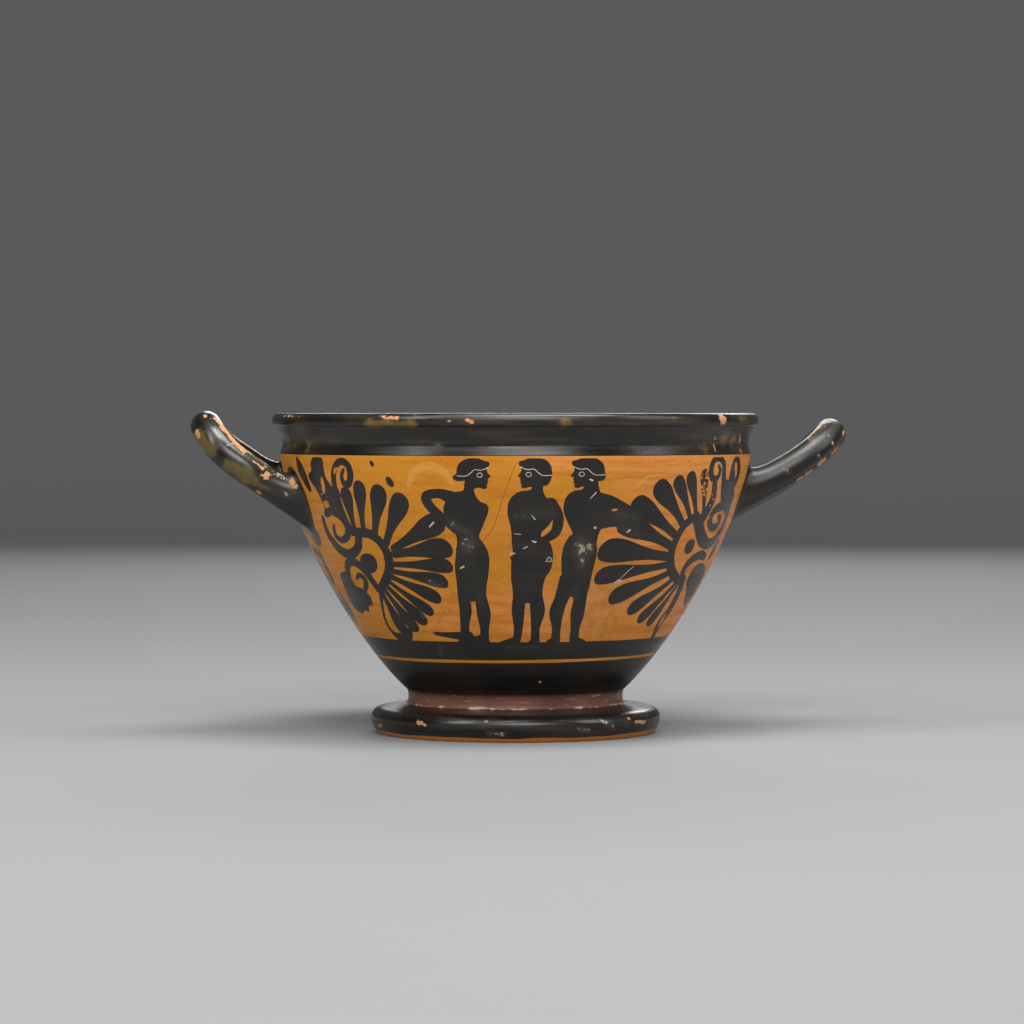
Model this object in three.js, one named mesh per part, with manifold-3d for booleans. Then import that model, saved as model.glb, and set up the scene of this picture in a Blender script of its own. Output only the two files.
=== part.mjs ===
// A skyphos: a deep two-handled drinking cup of fired clay, in millimetres with +Z up.
// The bowl, its disc foot and the two handles were joined while wet and fired as one piece,
// so they are one solid. The handles lie along X, and the cup stands at z = 0 on the flat
// ring under its foot. Painted figures and bands are only colour, so nothing here is raised
// for them.

import * as THREE from "three";
import { mergeVertices } from "three/addons/utils/BufferGeometryUtils.js";
import Module from "manifold-3d";

// Bowl and lip
const rimRadius = 110;            // outermost line of the rounded lip moulding
const cupHeight = 144;            // table to the crest of the lip
const lipThickness = 6.4;         // through the moulding
const lipRollHeight = 5.8;        // crest to the crisp lower edge of the moulding
const lipUndercut = 1.4;          // that edge stands back from the outermost line
const neckDrop = 13.8;            // crest to the narrowest ring of the neck
const neckSetback = 5.1;          // the narrowest ring stands back from the outermost line
const ridgeDrop = 18.1;           // crest to the ridge where the wall begins
const ridgeStep = 1.3;            // the ridge stands out from the narrowest ring
const wallThickness = 4.5;
const wallTopLean = 6.2;          // degrees from upright where the wall leaves the ridge
const wallTopPull = 29.9;         // how far that lean is held
const wallFootLean = 47.7;        // degrees from upright where the wall reaches the waist
const wallFootPull = 32.5;

// Waist, foot and floor
const waistRadius = 48.5;
const waistTop = 19.5;            // height where the wall turns into the waist
const footThickness = 13.4;       // table to the top of the foot beside the waist
const footRadius = 65.3;          // where the edge of the foot bulges most
const footArrisRadius = 64.4;
const footArrisDrop = 2.1;        // the top slopes down this much to its sharp outer line
const footBulgeHeight = 6;
const restRadius = 62.5;          // outer edge of the flat ring that the cup stands on
const restWidth = 11.5;
const recessDepth = 9;            // hollow under the foot
const recessSlope = 5;            // the side of that hollow leans in by this much
const floorThickness = 7;

// Handles, each a roll of clay bent into a horseshoe and luted to the wall
const armThickness = 14;
const tipThickness = 14.5;        // at the outer end of the horseshoe
const armSpread = 38;             // between the middles of the two arms
const bendLength = 28;            // along the roll's own plane, the rounded end
const rootRise = 9.8;             // clay built up over each arm where it meets the wall
const rootFlare = 1.6;            // clay smeared out on each side of it
const flareLength = 21.5;         // both run out along the arm over this length
const rootDepth = 16;             // the arm runs on into the wall before it is trimmed
const leftHandle = {
  turn: 180,                      // which way it points, in degrees
  reach: 146.6,                   // from the bowl's axis to its outermost point
  rootHeight: 105.4,              // where the middles of its arms meet the wall
  rise: 34.3,                     // degrees that the arms climb
  tipRise: 62,                    // degrees that its outer end climbs
  curlLength: 18.7,               // length over which the climb changes
  roll: 6,                        // the loop leans sideways by this many degrees
};
const rightHandle = {
  turn: 0,
  reach: 152.9,
  rootHeight: 102.9,
  rise: 28.7,
  tipRise: 49,
  curlLength: 29.8,
  roll: -9,
};

// How finely round stretches are divided
const turnSegments = 64;
const wallSteps = 12;
const floorSteps = 5;
const rollSteps = 4;
const armSides = 12;
const armSteps = 34;

const clearAbove = 5;             // the cutter for the hollow runs this far above the lip

const point = (radius, height) => new THREE.Vector2(radius, height);
const radians = THREE.MathUtils.degToRad;

// Points along a curve, leaving out its first one, which the stretch before it already has.
const follow = (curve, steps) => curve.getPoints(steps).slice(1);

// The outside of the wall, one smooth curve from the waist up to the ridge.
const ridge = point(rimRadius - neckSetback + ridgeStep, cupHeight - ridgeDrop);
const waist = point(waistRadius + 0.5, waistTop);
const footPull = point(Math.sin(radians(wallFootLean)), Math.cos(radians(wallFootLean)));
const topPull = point(-Math.sin(radians(wallTopLean)), -Math.cos(radians(wallTopLean)));
const wall = new THREE.CubicBezierCurve(
  waist,
  footPull.multiplyScalar(wallFootPull).add(waist),
  topPull.multiplyScalar(wallTopPull).add(ridge),
  ridge,
);

// The wall's outside radius at a height, found by halving the curve.
function wallRadiusAt(height) {
  let low = 0;
  let high = 1;
  for (let i = 0; i < 40; i += 1) {
    const middle = (low + high) / 2;
    if (wall.getPoint(middle).y < height) low = middle;
    else high = middle;
  }
  return wall.getPoint(low).x;
}

// Outside of the cup from the middle of the underside out, up the foot and wall, over the lip.
function outerProfile() {
  const restInner = restRadius - restWidth;
  const crest = rimRadius - lipThickness / 2;
  const arris = point(footArrisRadius, footThickness - footArrisDrop);
  const rollFoot = point(rimRadius - lipUndercut, cupHeight - lipRollHeight);
  const neck = point(rimRadius - neckSetback, cupHeight - neckDrop);
  const footEdge = new THREE.QuadraticBezierCurve(
    point(restRadius, 0),
    point(2 * footRadius - (restRadius + footArrisRadius) / 2, footBulgeHeight),
    arris,
  );
  const fillet = new THREE.QuadraticBezierCurve(
    point(waistRadius, footThickness),
    point(waistRadius - 0.4, (footThickness + waistTop) / 2),
    waist,
  );
  const lipHollow = new THREE.QuadraticBezierCurve(
    neck,
    point(neck.x + 0.4, (neck.y + rollFoot.y) / 2),
    rollFoot,
  );
  const lipRoll = new THREE.CubicBezierCurve(
    point(rimRadius - 0.4, rollFoot.y + 0.6),
    point(rimRadius + 0.3, cupHeight - 3),
    point(rimRadius - 0.2, cupHeight),
    point(crest, cupHeight),
  );
  return [
    point(0, recessDepth),
    point(restInner - recessSlope, recessDepth),
    point(restInner, 0),
    point(restRadius, 0),
    ...follow(footEdge, rollSteps),
    point(waistRadius, footThickness),
    ...follow(fillet, 3),
    ...follow(wall, wallSteps),
    neck,
    ...follow(lipHollow, 3),
    lipRoll.v0,
    ...follow(lipRoll, rollSteps),
    point(0, cupHeight),
  ];
}

// The hollow inside: the wall's curve moved in by its thickness, run out onto a flat floor,
// and open at the top.
function hollowProfile() {
  const floorTop = recessDepth + floorThickness;
  const inner = [];
  for (let i = 0; i <= wallSteps; i += 1) {
    const onWall = wall.getPoint(i / wallSteps);
    const along = wall.getTangent(i / wallSteps);
    inner.push(point(onWall.x - along.y * wallThickness, onWall.y + along.x * wallThickness));
  }
  const sides = inner.filter((p) => p.y > floorTop + wallThickness);
  const lean = (sides[1].x - sides[0].x) / (sides[1].y - sides[0].y);
  const corner = point(sides[0].x - lean * (sides[0].y - floorTop), floorTop);
  const floorRun = new THREE.QuadraticBezierCurve(point(corner.x / 2, floorTop), corner, sides[0]);
  const innerLip = rimRadius - lipThickness;
  const crest = rimRadius - lipThickness / 2;
  const throat = point(rimRadius - neckSetback - wallThickness, cupHeight - neckDrop);
  const lipInside = new THREE.CubicBezierCurve(
    throat,
    point(throat.x, throat.y + neckDrop / 3),
    point(innerLip, cupHeight - 0.2),
    point(crest, cupHeight),
  );
  return [
    point(0, floorTop),
    point(corner.x / 2, floorTop),
    ...follow(floorRun, floorSteps),
    ...sides.slice(1),
    throat,
    ...follow(lipInside, rollSteps + 1),
    point(crest, cupHeight + clearAbove),
    point(0, cupHeight + clearAbove),
  ];
}

function turned(profile) {
  return new THREE.LatheGeometry(profile, turnSegments).rotateX(Math.PI / 2);
}

// A handle's middle line. On the flat it is a U: two straight arms and half an ellipse. Seen
// from the side the U climbs straight out from the wall, and its end curls up along an arc.
function handleLine({ reach, rootHeight, rise, tipRise, curlLength }) {
  const rootX = Math.sqrt(wallRadiusAt(rootHeight) ** 2 - (armSpread / 2) ** 2);
  const start = radians(rise);
  const end = radians(tipRise);
  const curlRadius = curlLength / (end - start);
  const curlRun = curlRadius * (Math.sin(end) - Math.sin(start));
  const straight = (reach - tipThickness / 2 - rootX - curlRun) / Math.cos(start);
  const flatLength = straight + curlLength;
  const bendStart = flatLength - bendLength;
  const flat = new THREE.Path();
  flat.moveTo(-rootDepth, -armSpread / 2);
  flat.lineTo(bendStart, -armSpread / 2);
  flat.absellipse(bendStart, 0, bendLength, armSpread / 2, -Math.PI / 2, Math.PI / 2, false);
  flat.lineTo(-rootDepth, armSpread / 2);

  return (share) => {
    const onFlat = flat.getPointAt(share);
    const along = flat.getTangentAt(share);
    const curled = Math.max(0, onFlat.x - straight);
    const angle = start + curled / curlRadius;
    const before = onFlat.x - curled;
    const run = before * Math.cos(start) + curlRadius * (Math.sin(angle) - Math.sin(start));
    const climb = before * Math.sin(start) + curlRadius * (Math.cos(start) - Math.cos(angle));
    const outward = new THREE.Vector3(Math.cos(angle), 0, Math.sin(angle));
    const towardsEnd = THREE.MathUtils.smoothstep(onFlat.x, bendStart / 2, flatLength);
    const nearWall = (1 - THREE.MathUtils.clamp(onFlat.x / flareLength, 0, 1)) ** 2;
    const radius = THREE.MathUtils.lerp(armThickness, tipThickness, towardsEnd) / 2;
    const up = new THREE.Vector3(-Math.sin(angle), 0, Math.cos(angle));
    const middle = new THREE.Vector3(rootX + run, onFlat.y, rootHeight + climb);
    return {
      centre: middle.addScaledVector(up, (rootRise / 2) * nearWall),
      tangent: outward.clone().multiplyScalar(along.x).setY(along.y),
      up,
      halfHeight: radius + (rootRise / 2) * nearWall,
      halfWidth: radius + rootFlare * nearWall,
    };
  };
}

// A handle: a round bar whose every ring is carried to its place on the middle line.
function handleGeometry(handle) {
  const line = handleLine(handle);
  const bar = new THREE.CylinderGeometry(1, 1, 1, armSides, armSteps);
  const place = bar.getAttribute("position");
  const local = new THREE.Vector3();
  for (let i = 0; i < place.count; i += 1) {
    local.fromBufferAttribute(place, i);
    const { centre, tangent, up, halfHeight, halfWidth } = line(local.y + 0.5);
    const across = up.clone().cross(tangent);
    const at = centre
      .addScaledVector(up, local.x * halfHeight)
      .addScaledVector(across, local.z * halfWidth);
    place.setXYZ(i, at.x, at.y, at.z);
  }
  bar.rotateZ(radians(handle.turn));
  bar.translate(0, 0, -handle.rootHeight);
  bar.rotateX(radians(handle.roll));
  bar.translate(0, 0, handle.rootHeight);
  return bar;
}

const wasm = await Module();
wasm.setup();

function solid(geometry) {
  const bare = geometry.index ? geometry.clone() : geometry;
  bare.deleteAttribute("normal");
  bare.deleteAttribute("uv");
  const merged = mergeVertices(bare);
  const corners = merged.index.array;
  const triVerts = [];
  for (let i = 0; i < corners.length; i += 3) {
    const [a, b, c] = corners.subarray(i, i + 3);
    if (a !== b && b !== c && c !== a) triVerts.push(a, b, c);
  }
  return new wasm.Manifold(
    new wasm.Mesh({
      numProp: 3,
      vertProperties: new Float32Array(merged.getAttribute("position").array),
      triVerts: new Uint32Array(triVerts),
    }),
  );
}

function geometryOf(manifold) {
  const { numProp, vertProperties, triVerts } = manifold.getMesh();
  const places = new Float32Array((vertProperties.length / numProp) * 3);
  for (let i = 0; i < places.length / 3; i += 1) {
    places.set(vertProperties.subarray(i * numProp, i * numProp + 3), i * 3);
  }
  const geometry = new THREE.BufferGeometry();
  geometry.setAttribute("position", new THREE.BufferAttribute(places, 3));
  geometry.setIndex(new THREE.BufferAttribute(triVerts, 1));
  geometry.computeVertexNormals();
  return geometry;
}

// The handles are added to the full bowl first, so cutting the hollow also trims their roots.
function cupGeometry() {
  const cup = solid(turned(outerProfile()))
    .add(solid(handleGeometry(leftHandle)))
    .add(solid(handleGeometry(rightHandle)))
    .subtract(solid(turned(hollowProfile())));
  return geometryOf(cup);
}

const glazedClay = new THREE.MeshStandardMaterial({
  color: 0x1d1814,
  roughness: 0.35,
  metalness: 0,
});

const skyphos = new THREE.Mesh(cupGeometry(), glazedClay);
skyphos.name = "skyphos";
// The handles differ in reach, so the middle of the whole width is a little off the bowl's axis.
skyphos.position.x = (leftHandle.reach - rightHandle.reach) / 2;

const part = new THREE.Group();
part.add(skyphos);

export default part;
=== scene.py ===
"""A black-figure skyphos: one fired pot with its painted frieze, handles, bands and wear.

Sizes are millimetres until the mesh is made; the frame is in metres. An angle on the bowl is
measured from the middle of the front side, positive towards the longer handle (+X).
"""
import math

import bpy
import numpy as np
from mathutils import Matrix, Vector
from mathutils.geometry import delaunay_2d_cdt


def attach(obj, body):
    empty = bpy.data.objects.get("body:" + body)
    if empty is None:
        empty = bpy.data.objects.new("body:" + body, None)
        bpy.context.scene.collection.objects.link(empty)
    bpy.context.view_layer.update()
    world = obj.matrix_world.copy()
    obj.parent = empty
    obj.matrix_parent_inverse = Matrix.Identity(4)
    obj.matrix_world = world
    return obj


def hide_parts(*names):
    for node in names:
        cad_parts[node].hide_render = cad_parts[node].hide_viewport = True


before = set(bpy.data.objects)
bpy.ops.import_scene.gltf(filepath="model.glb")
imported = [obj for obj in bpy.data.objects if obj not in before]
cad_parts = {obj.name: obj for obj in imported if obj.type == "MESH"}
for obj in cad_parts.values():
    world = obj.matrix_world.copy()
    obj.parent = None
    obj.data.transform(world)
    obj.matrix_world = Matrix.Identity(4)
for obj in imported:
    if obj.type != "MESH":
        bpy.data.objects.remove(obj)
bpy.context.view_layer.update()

MM = 0.001
TAU = 2 * math.pi

# Bowl, lip and foot, the same driving sizes as the solid
RIM_RADIUS = 109.85
CUP_HEIGHT = 144
LIP_THICKNESS = 6.4
LIP_ROLL_HEIGHT = 5.8
LIP_UNDERCUT = 1.4
NECK_DROP = 13.8
NECK_SETBACK = 4.95
RIDGE_DROP = 18.1
RIDGE_STEP = 1.3
WALL_THICKNESS = 4.5
WALL_TOP_LEAN = 6.2
WALL_TOP_PULL = 29.9
WALL_FOOT_LEAN = 47.7
WALL_FOOT_PULL = 32.5
WAIST_RADIUS = 48.5
WAIST_TOP = 19.5
FOOT_THICKNESS = 13.4
FOOT_RADIUS = 65.3
FOOT_ARRIS_RADIUS = 64.4
FOOT_ARRIS_DROP = 2.1
FOOT_BULGE_HEIGHT = 6
ARRIS_EASE = 4.2
REST_RADIUS = 62.5
REST_WIDTH = 11.5
RECESS_DEPTH = 9
RECESS_SLOPE = 5
FLOOR_THICKNESS = 7

# Handles, the same driving sizes as the solid
ARM_THICKNESS = 14
TIP_THICKNESS = 14.3
ARM_SPREAD = 38
BEND_LENGTH = 28
ROOT_RISE = 9.8
ROOT_FLARE = 1.6
FLARE_LENGTH = 21.5
ROOT_DEPTH = 16
ROOT_FILLET = 3.4
LONGEST_ROOT = 52
LEFT_HANDLE = dict(turn=180, reach=146.55, root=105.3, rise=34.3, tip_rise=62, curl=18.7, roll=6)
RIGHT_HANDLE = dict(turn=0, reach=152.85, root=102.8, rise=28.7, tip_rise=49, curl=29.8, roll=-9)
AXIS_X = (LEFT_HANDLE["reach"] - RIGHT_HANDLE["reach"]) / 2

# Painted zones, as heights
FRIEZE_BOTTOM = 44.4
GROUND_BOTTOM = 37.6
GLAZED_BELOW = 40.0
LINE_TOP = 36.3
LINE_BOTTOM = 35.0
LINE_TILT = 0.55
PAINT_FLOOR = 29.0
PAINT_CEILING = 125.2
STRIPE_TOP = 2.1
UNDER_RING = (17.0, 22.0)
FILLET_TOP = 20.2

# How finely round stretches are divided
COLUMNS = 256
PAINT_GRID = 2.4
CELLS_PER_GRID = 1.4
BRUSH_STEP = 0.75
ARM_SIDES = 48
ARM_ROWS = 100
FILLET_ROWS = 7

# Where the unrolled wall is cut open, in the middle of the shorter handle's side
SIDE_START = math.radians(-90)

# Finishes, in the order of the mesh's material slots
CLAY, GLAZE, SCRATCH, GHOST, CRACK, FILLET, LIP, FOOT, LEFT_ARM, RIGHT_ARM = range(10)


def bezier(corners, count):
    """Points along a Bezier curve: its corners weighted by the Bernstein polynomials."""
    corners = np.asarray(corners, float)
    share = np.linspace(0, 1, count)[:, None]
    last = len(corners) - 1
    weights = [math.comb(last, k) * share**k * (1 - share) ** (last - k) for k in range(last + 1)]
    return sum(weight * corner for weight, corner in zip(weights, corners))


def run_along(points):
    """Length walked along a polyline up to each of its points."""
    return np.concatenate([[0], np.cumsum(np.linalg.norm(np.diff(points, axis=0), axis=1))])


# The outside of the wall, one smooth curve from the waist up to the ridge
RIDGE = np.array([RIM_RADIUS - NECK_SETBACK + RIDGE_STEP, CUP_HEIGHT - RIDGE_DROP])
WAIST = np.array([WAIST_RADIUS + 0.5, WAIST_TOP])
FOOT_LEAN = math.radians(WALL_FOOT_LEAN)
TOP_LEAN = math.radians(WALL_TOP_LEAN)
WALL = bezier(
    [
        WAIST,
        WAIST + WALL_FOOT_PULL * np.array([math.sin(FOOT_LEAN), math.cos(FOOT_LEAN)]),
        RIDGE - WALL_TOP_PULL * np.array([math.sin(TOP_LEAN), math.cos(TOP_LEAN)]),
        RIDGE,
    ],
    401,
)
WALL_RUN = run_along(WALL)
WALL_TANGENT = np.gradient(WALL, WALL_RUN, axis=0)
UNROLL_RADIUS = 85.0


def radius_at(height):
    """The wall's outside radius at a height, read off the curve."""
    return np.interp(height, WALL[:, 1], WALL[:, 0])


def run_at(height):
    """How far along the wall's curve a height lies."""
    return np.interp(height, WALL[:, 1], WALL_RUN)


def height_at(run):
    return np.interp(run, WALL_RUN, WALL[:, 1])


def turned(radius, angle, height):
    """A point at a radius and height, carried round the bowl's axis by an angle."""
    return np.stack([radius * np.sin(angle), -radius * np.cos(angle), height + 0 * angle], axis=-1)


def wall_points(angle, run):
    """Places and outward normals on the wall from the angle and the run along its curve."""
    height = height_at(run)
    place = turned(radius_at(height), angle, height)
    out = np.interp(run, WALL_RUN, WALL_TANGENT[:, 1])
    down = -np.interp(run, WALL_RUN, WALL_TANGENT[:, 0])
    return place, turned(out, angle, down)


# Profiles of the turned parts


def rounded(corners, radius, steps=4):
    """A polyline with each inner corner replaced by a small quadratic arc."""
    corners = np.asarray(corners, float)
    pieces = [corners[:1]]
    for before, corner, after in zip(corners[:-2], corners[1:-1], corners[2:]):
        back = before - corner
        ahead = after - corner
        start = corner + back * min(0.45, radius / np.linalg.norm(back))
        end = corner + ahead * min(0.45, radius / np.linalg.norm(ahead))
        pieces.append(bezier([start, corner, end], steps + 1))
    pieces.append(corners[-1:])
    return np.vstack(pieces)


def drop_doubles(points):
    keep = np.concatenate([[True], np.linalg.norm(np.diff(points, axis=0), axis=1) > 0.02])
    return points[keep]


def lower_profile():
    """From the lower edge of the painted wall down over the foot to the middle underneath."""
    rest_inner = REST_RADIUS - REST_WIDTH
    arris = np.array([FOOT_ARRIS_RADIUS, FOOT_THICKNESS - FOOT_ARRIS_DROP])
    heights = np.linspace(PAINT_FLOOR, WAIST_TOP + 0.4, 6)
    wall = np.stack([radius_at(heights), heights], axis=1)
    fillet = bezier(
        [WAIST, (WAIST_RADIUS - 0.4, (FOOT_THICKNESS + WAIST_TOP) / 2), (WAIST_RADIUS + 0.4, 14)], 8
    )
    foot_top = rounded([fillet[-1], (WAIST_RADIUS + 0.9, FOOT_THICKNESS - 0.03), arris], 0.5)
    edge = bezier(
        [
            arris,
            (2 * FOOT_RADIUS - (REST_RADIUS + FOOT_ARRIS_RADIUS) / 2, FOOT_BULGE_HEIGHT),
            (REST_RADIUS, 0),
        ],
        14,
    )
    inwards = (foot_top[-2] - arris) / np.linalg.norm(foot_top[-2] - arris)
    top_run = np.linspace(foot_top[-2], arris, 9)[1:-3]
    arris_turn = bezier([arris + ARRIS_EASE * inwards, arris, edge[4]], 12)
    heel = rounded([edge[-2], edge[-1], (REST_RADIUS - 3, 0)], 0.45)
    under = rounded(
        [
            (REST_RADIUS - 3, 0),
            (rest_inner, 0),
            (rest_inner - RECESS_SLOPE, RECESS_DEPTH),
            (rest_inner - RECESS_SLOPE - 8, RECESS_DEPTH),
        ],
        1.2,
    )
    middle = np.linspace((rest_inner - RECESS_SLOPE - 8, RECESS_DEPTH), (1.5, RECESS_DEPTH), 10)
    pieces = [wall, fillet, foot_top[:-1], top_run, arris_turn, edge[5:-2], heel, under, middle]
    return drop_doubles(np.vstack(pieces))


def upper_profile():
    """From the upper edge of the painted wall over neck and lip, and down the inside."""
    crest = np.array([RIM_RADIUS - LIP_THICKNESS / 2, CUP_HEIGHT])
    neck = np.array([RIM_RADIUS - NECK_SETBACK, CUP_HEIGHT - NECK_DROP])
    roll_foot = np.array([RIM_RADIUS - LIP_UNDERCUT, CUP_HEIGHT - LIP_ROLL_HEIGHT])
    roll_side = np.array([RIM_RADIUS - 0.4, roll_foot[1] + 0.6])
    hollow = bezier([neck, (neck[0] + 0.4, (neck[1] + roll_foot[1]) / 2), roll_foot], 9)
    roll = bezier(
        [roll_side, (RIM_RADIUS + 0.3, CUP_HEIGHT - 3), (RIM_RADIUS - 0.2, CUP_HEIGHT), crest], 14
    )
    start = np.array([radius_at(PAINT_CEILING), PAINT_CEILING])
    ridge = rounded([start, RIDGE, neck, hollow[2]], 0.5)
    edge = rounded([hollow[-2], roll_foot, roll_side, roll[1]], 0.4)
    outside = np.vstack([ridge, hollow[2:-2], edge, roll[2:]])

    floor_top = RECESS_DEPTH + FLOOR_THICKNESS
    inward = np.stack([-WALL_TANGENT[:, 1], WALL_TANGENT[:, 0]], axis=1)
    inner = (WALL + WALL_THICKNESS * inward)[::10]
    sides = inner[inner[:, 1] > floor_top + WALL_THICKNESS]
    lean = (sides[1, 0] - sides[0, 0]) / (sides[1, 1] - sides[0, 1])
    corner = np.array([sides[0, 0] - lean * (sides[0, 1] - floor_top), floor_top])
    floor_run = bezier([(corner[0] / 2, floor_top), corner, sides[0]], 10)
    throat = np.array([RIM_RADIUS - NECK_SETBACK - WALL_THICKNESS, CUP_HEIGHT - NECK_DROP])
    lip = bezier(
        [
            throat,
            throat + (0, NECK_DROP / 3),
            (RIM_RADIUS - LIP_THICKNESS, CUP_HEIGHT - 0.2),
            crest,
        ],
        16,
    )
    throat_turn = rounded([sides[-2], sides[-1], throat, lip[2]], 1.2)
    floor = np.linspace((corner[0] / 2, floor_top), (1.5, floor_top), 8)
    pieces = [
        outside,
        lip[::-1][1:-2],
        throat_turn[::-1],
        sides[::-1][2:],
        floor_run[::-1][1:],
        floor[1:],
    ]
    return drop_doubles(np.vstack(pieces))


# Brush work: every painted shape is an outline in two flat coordinates


def through(points, step=BRUSH_STEP, closed=False):
    """A smooth curve through given points: each stretch is a Catmull-Rom cubic."""
    points = np.asarray(points, float)
    if closed:
        padded = np.vstack([points[-1:], points, points[:2]])
    else:
        padded = np.vstack([2 * points[0] - points[1], points, 2 * points[-1] - points[-2]])
    pieces = []
    for a, b, c, d in zip(padded[:-3], padded[1:-2], padded[2:-1], padded[3:]):
        count = max(2, int(np.linalg.norm((c - b)[:2]) / step))
        t = np.arange(count)[:, None] / count
        cubic = (3 * b - a - 3 * c + d) * t**3
        pieces.append((2 * b + (c - a) * t + (2 * a - 5 * b + 4 * c - d) * t**2 + cubic) / 2)
    if not closed:
        pieces.append(points[-1:])
    return np.vstack(pieces)


def stroke(points, step=BRUSH_STEP):
    """Outline of a brush stroke through (x, height, width) points.

    The middle line is pushed out by half its width on both sides, and each end is a half circle.
    """
    line = through(points, step)
    middle = line[:, :2]
    half = np.maximum(line[:, 2:], 0.1) / 2
    ahead = np.gradient(middle, axis=0)
    ahead /= np.linalg.norm(ahead, axis=1)[:, None]
    side = np.stack([-ahead[:, 1], ahead[:, 0]], axis=1)
    turn = np.linspace(0, math.pi, max(4, int(half[-1, 0] * 4 / step)) + 1)[1:-1, None]
    end = middle[-1] + half[-1] * (np.cos(turn) * side[-1] + np.sin(turn) * ahead[-1])
    turn = np.linspace(0, math.pi, max(4, int(half[0, 0] * 4 / step)) + 1)[1:-1, None]
    start = middle[0] - half[0] * (np.cos(turn) * side[0] + np.sin(turn) * ahead[0])
    return np.vstack([middle + side * half, end, (middle - side * half)[::-1], start])


def blob(points):
    """A closed smooth outline through given points."""
    return through(points, closed=True)


def oval(x, height, width, tall, lean=0):
    """An ellipse, leaned over by an angle in degrees."""
    count = max(8, int(math.pi * (width + tall) / 2 / BRUSH_STEP))
    turn = np.arange(count) * TAU / count
    lean = math.radians(lean)
    across = np.cos(turn) * width / 2
    along = np.sin(turn) * tall / 2
    return np.stack(
        [
            x + across * math.cos(lean) - along * math.sin(lean),
            height + across * math.sin(lean) + along * math.cos(lean),
        ],
        axis=1,
    )


paint = []


def lay(outline, finish):
    """Keeps an outline given as (angle, height), inside the painted wall's edges."""
    height = np.clip(outline[:, 1], PAINT_FLOOR + 0.6, PAINT_CEILING - 0.4)
    flat = np.stack([outline[:, 0] * UNROLL_RADIUS, run_at(height)], axis=1)
    paint.append((flat, finish))


def seen_from(facing):
    """Lays outlines drawn as seen from a direction: x across the view, and the height."""

    def place(outline, finish):
        angle = facing + np.arcsin(outline[:, 0] / radius_at(outline[:, 1]))
        lay(np.stack([angle, outline[:, 1]], axis=1), finish)

    return place


def wrapped_at(angle, height, hand):
    """Lays outlines drawn round a point of the wall, lengths kept along the bowl's turn."""

    def place(outline, finish):
        up = height + outline[:, 1]
        lay(np.stack([angle + hand * outline[:, 0] / radius_at(up), up], axis=1), finish)

    return place


def wavering(angle, seed, size):
    """A hand's wavering along a turned line: a few sines with whole numbers of waves."""
    rng = np.random.default_rng(seed)
    waves = rng.integers(2, 15, 5)
    starts = rng.uniform(0, TAU, 5)
    return size * sum(np.sin(n * angle + s) / (1 + 0.15 * n) for n, s in zip(waves, starts)) / 2


def band(low, high, finish, seed, tilt=0.0):
    """A band right round the bowl, with edges that waver and may tilt a little."""
    angle = np.radians(np.linspace(-100, 280, 761))
    lean = tilt * np.sin(angle)
    top = np.stack([angle, high + lean + wavering(angle, seed, 0.12)], axis=1)
    bottom = np.stack([angle, low + lean + wavering(angle, seed + 1, 0.12)], axis=1)
    lay(np.vstack([top, bottom[::-1]]), finish)


def flecks(place, x, height, spread, count, size, seed, finish=SCRATCH):
    """Small ragged chips scattered round a point, each a six-cornered fleck."""
    rng = np.random.default_rng(seed)
    for _ in range(count):
        middle = np.array([x, height]) + rng.normal(0, 0.5, 2) * spread
        turn = np.arange(6) * TAU / 6 + rng.uniform(0, 1)
        reach = size * rng.uniform(0.3, 1.0) * rng.uniform(0.5, 1.0, 6)
        stretch = rng.uniform(0.4, 1.5)
        outline = np.stack([np.cos(turn) * reach * stretch, np.sin(turn) * reach / stretch], axis=1)
        place(middle + outline, finish)


# Figures. Heads are of one general design, and each figure has a trunk and limbs.

HEAD_SIZE = 13.2
FACE = [
    (0.34, 0.30), (0.43, 0.17), (0.45, 0.05), (0.56, -0.10), (0.46, -0.15), (0.49, -0.21),
    (0.45, -0.255), (0.48, -0.31), (0.43, -0.36), (0.45, -0.44), (0.34, -0.50), (0.16, -0.45),
    (-0.10, -0.50), (-0.30, -0.20), (-0.20, 0.28),
]
HAIR = [
    (0.30, 0.16), (0.50, 0.24), (0.50, 0.38), (0.34, 0.42), (0.16, 0.50), (-0.16, 0.50),
    (-0.44, 0.36), (-0.55, 0.12), (-0.50, -0.12), (-0.26, -0.16), (0.0, 0.06),
]
HAIR_EDGE = [
    (0.47, 0.20), (0.25, 0.115), (0.03, 0.13), (-0.10, 0.02), (-0.26, -0.075), (-0.54, -0.07),
]


def head(place, x, height, look, nape):
    """A head in profile: face, cap of hair, hair gathered at the nape, and two cut lines."""

    def sized(points):
        return np.asarray(points, float) * (look * HEAD_SIZE, HEAD_SIZE) + (x, height)

    place(through(sized(FACE), 0.4, closed=True), GLAZE)
    place(through(sized(HAIR), 0.6, closed=True), GLAZE)
    place(blob(sized(nape)), GLAZE)
    cut = np.full((len(HAIR_EDGE), 1), 0.33)
    place(stroke(np.hstack([sized(HAIR_EDGE), cut]), 0.6), SCRATCH)
    turn = np.linspace(0, TAU, 15)
    ring = sized(np.stack([0.2 + 0.085 * np.cos(turn), -0.045 + 0.07 * np.sin(turn)], axis=1))
    place(stroke(np.hstack([ring, np.full((15, 1), 0.31)]), 0.35), SCRATCH)


LOW_KNOT = [(-0.40, 0.02), (-0.60, -0.02), (-0.68, -0.15), (-0.52, -0.24), (-0.28, -0.20)]
FULL_KNOT = [(-0.30, 0.0), (-0.56, 0.05), (-0.50, -0.26), (-0.34, -0.42), (-0.12, -0.34)]
SHORT_KNOT = [(-0.30, 0.0), (-0.55, 0.0), (-0.56, -0.20), (-0.38, -0.28), (-0.16, -0.20)]

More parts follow.
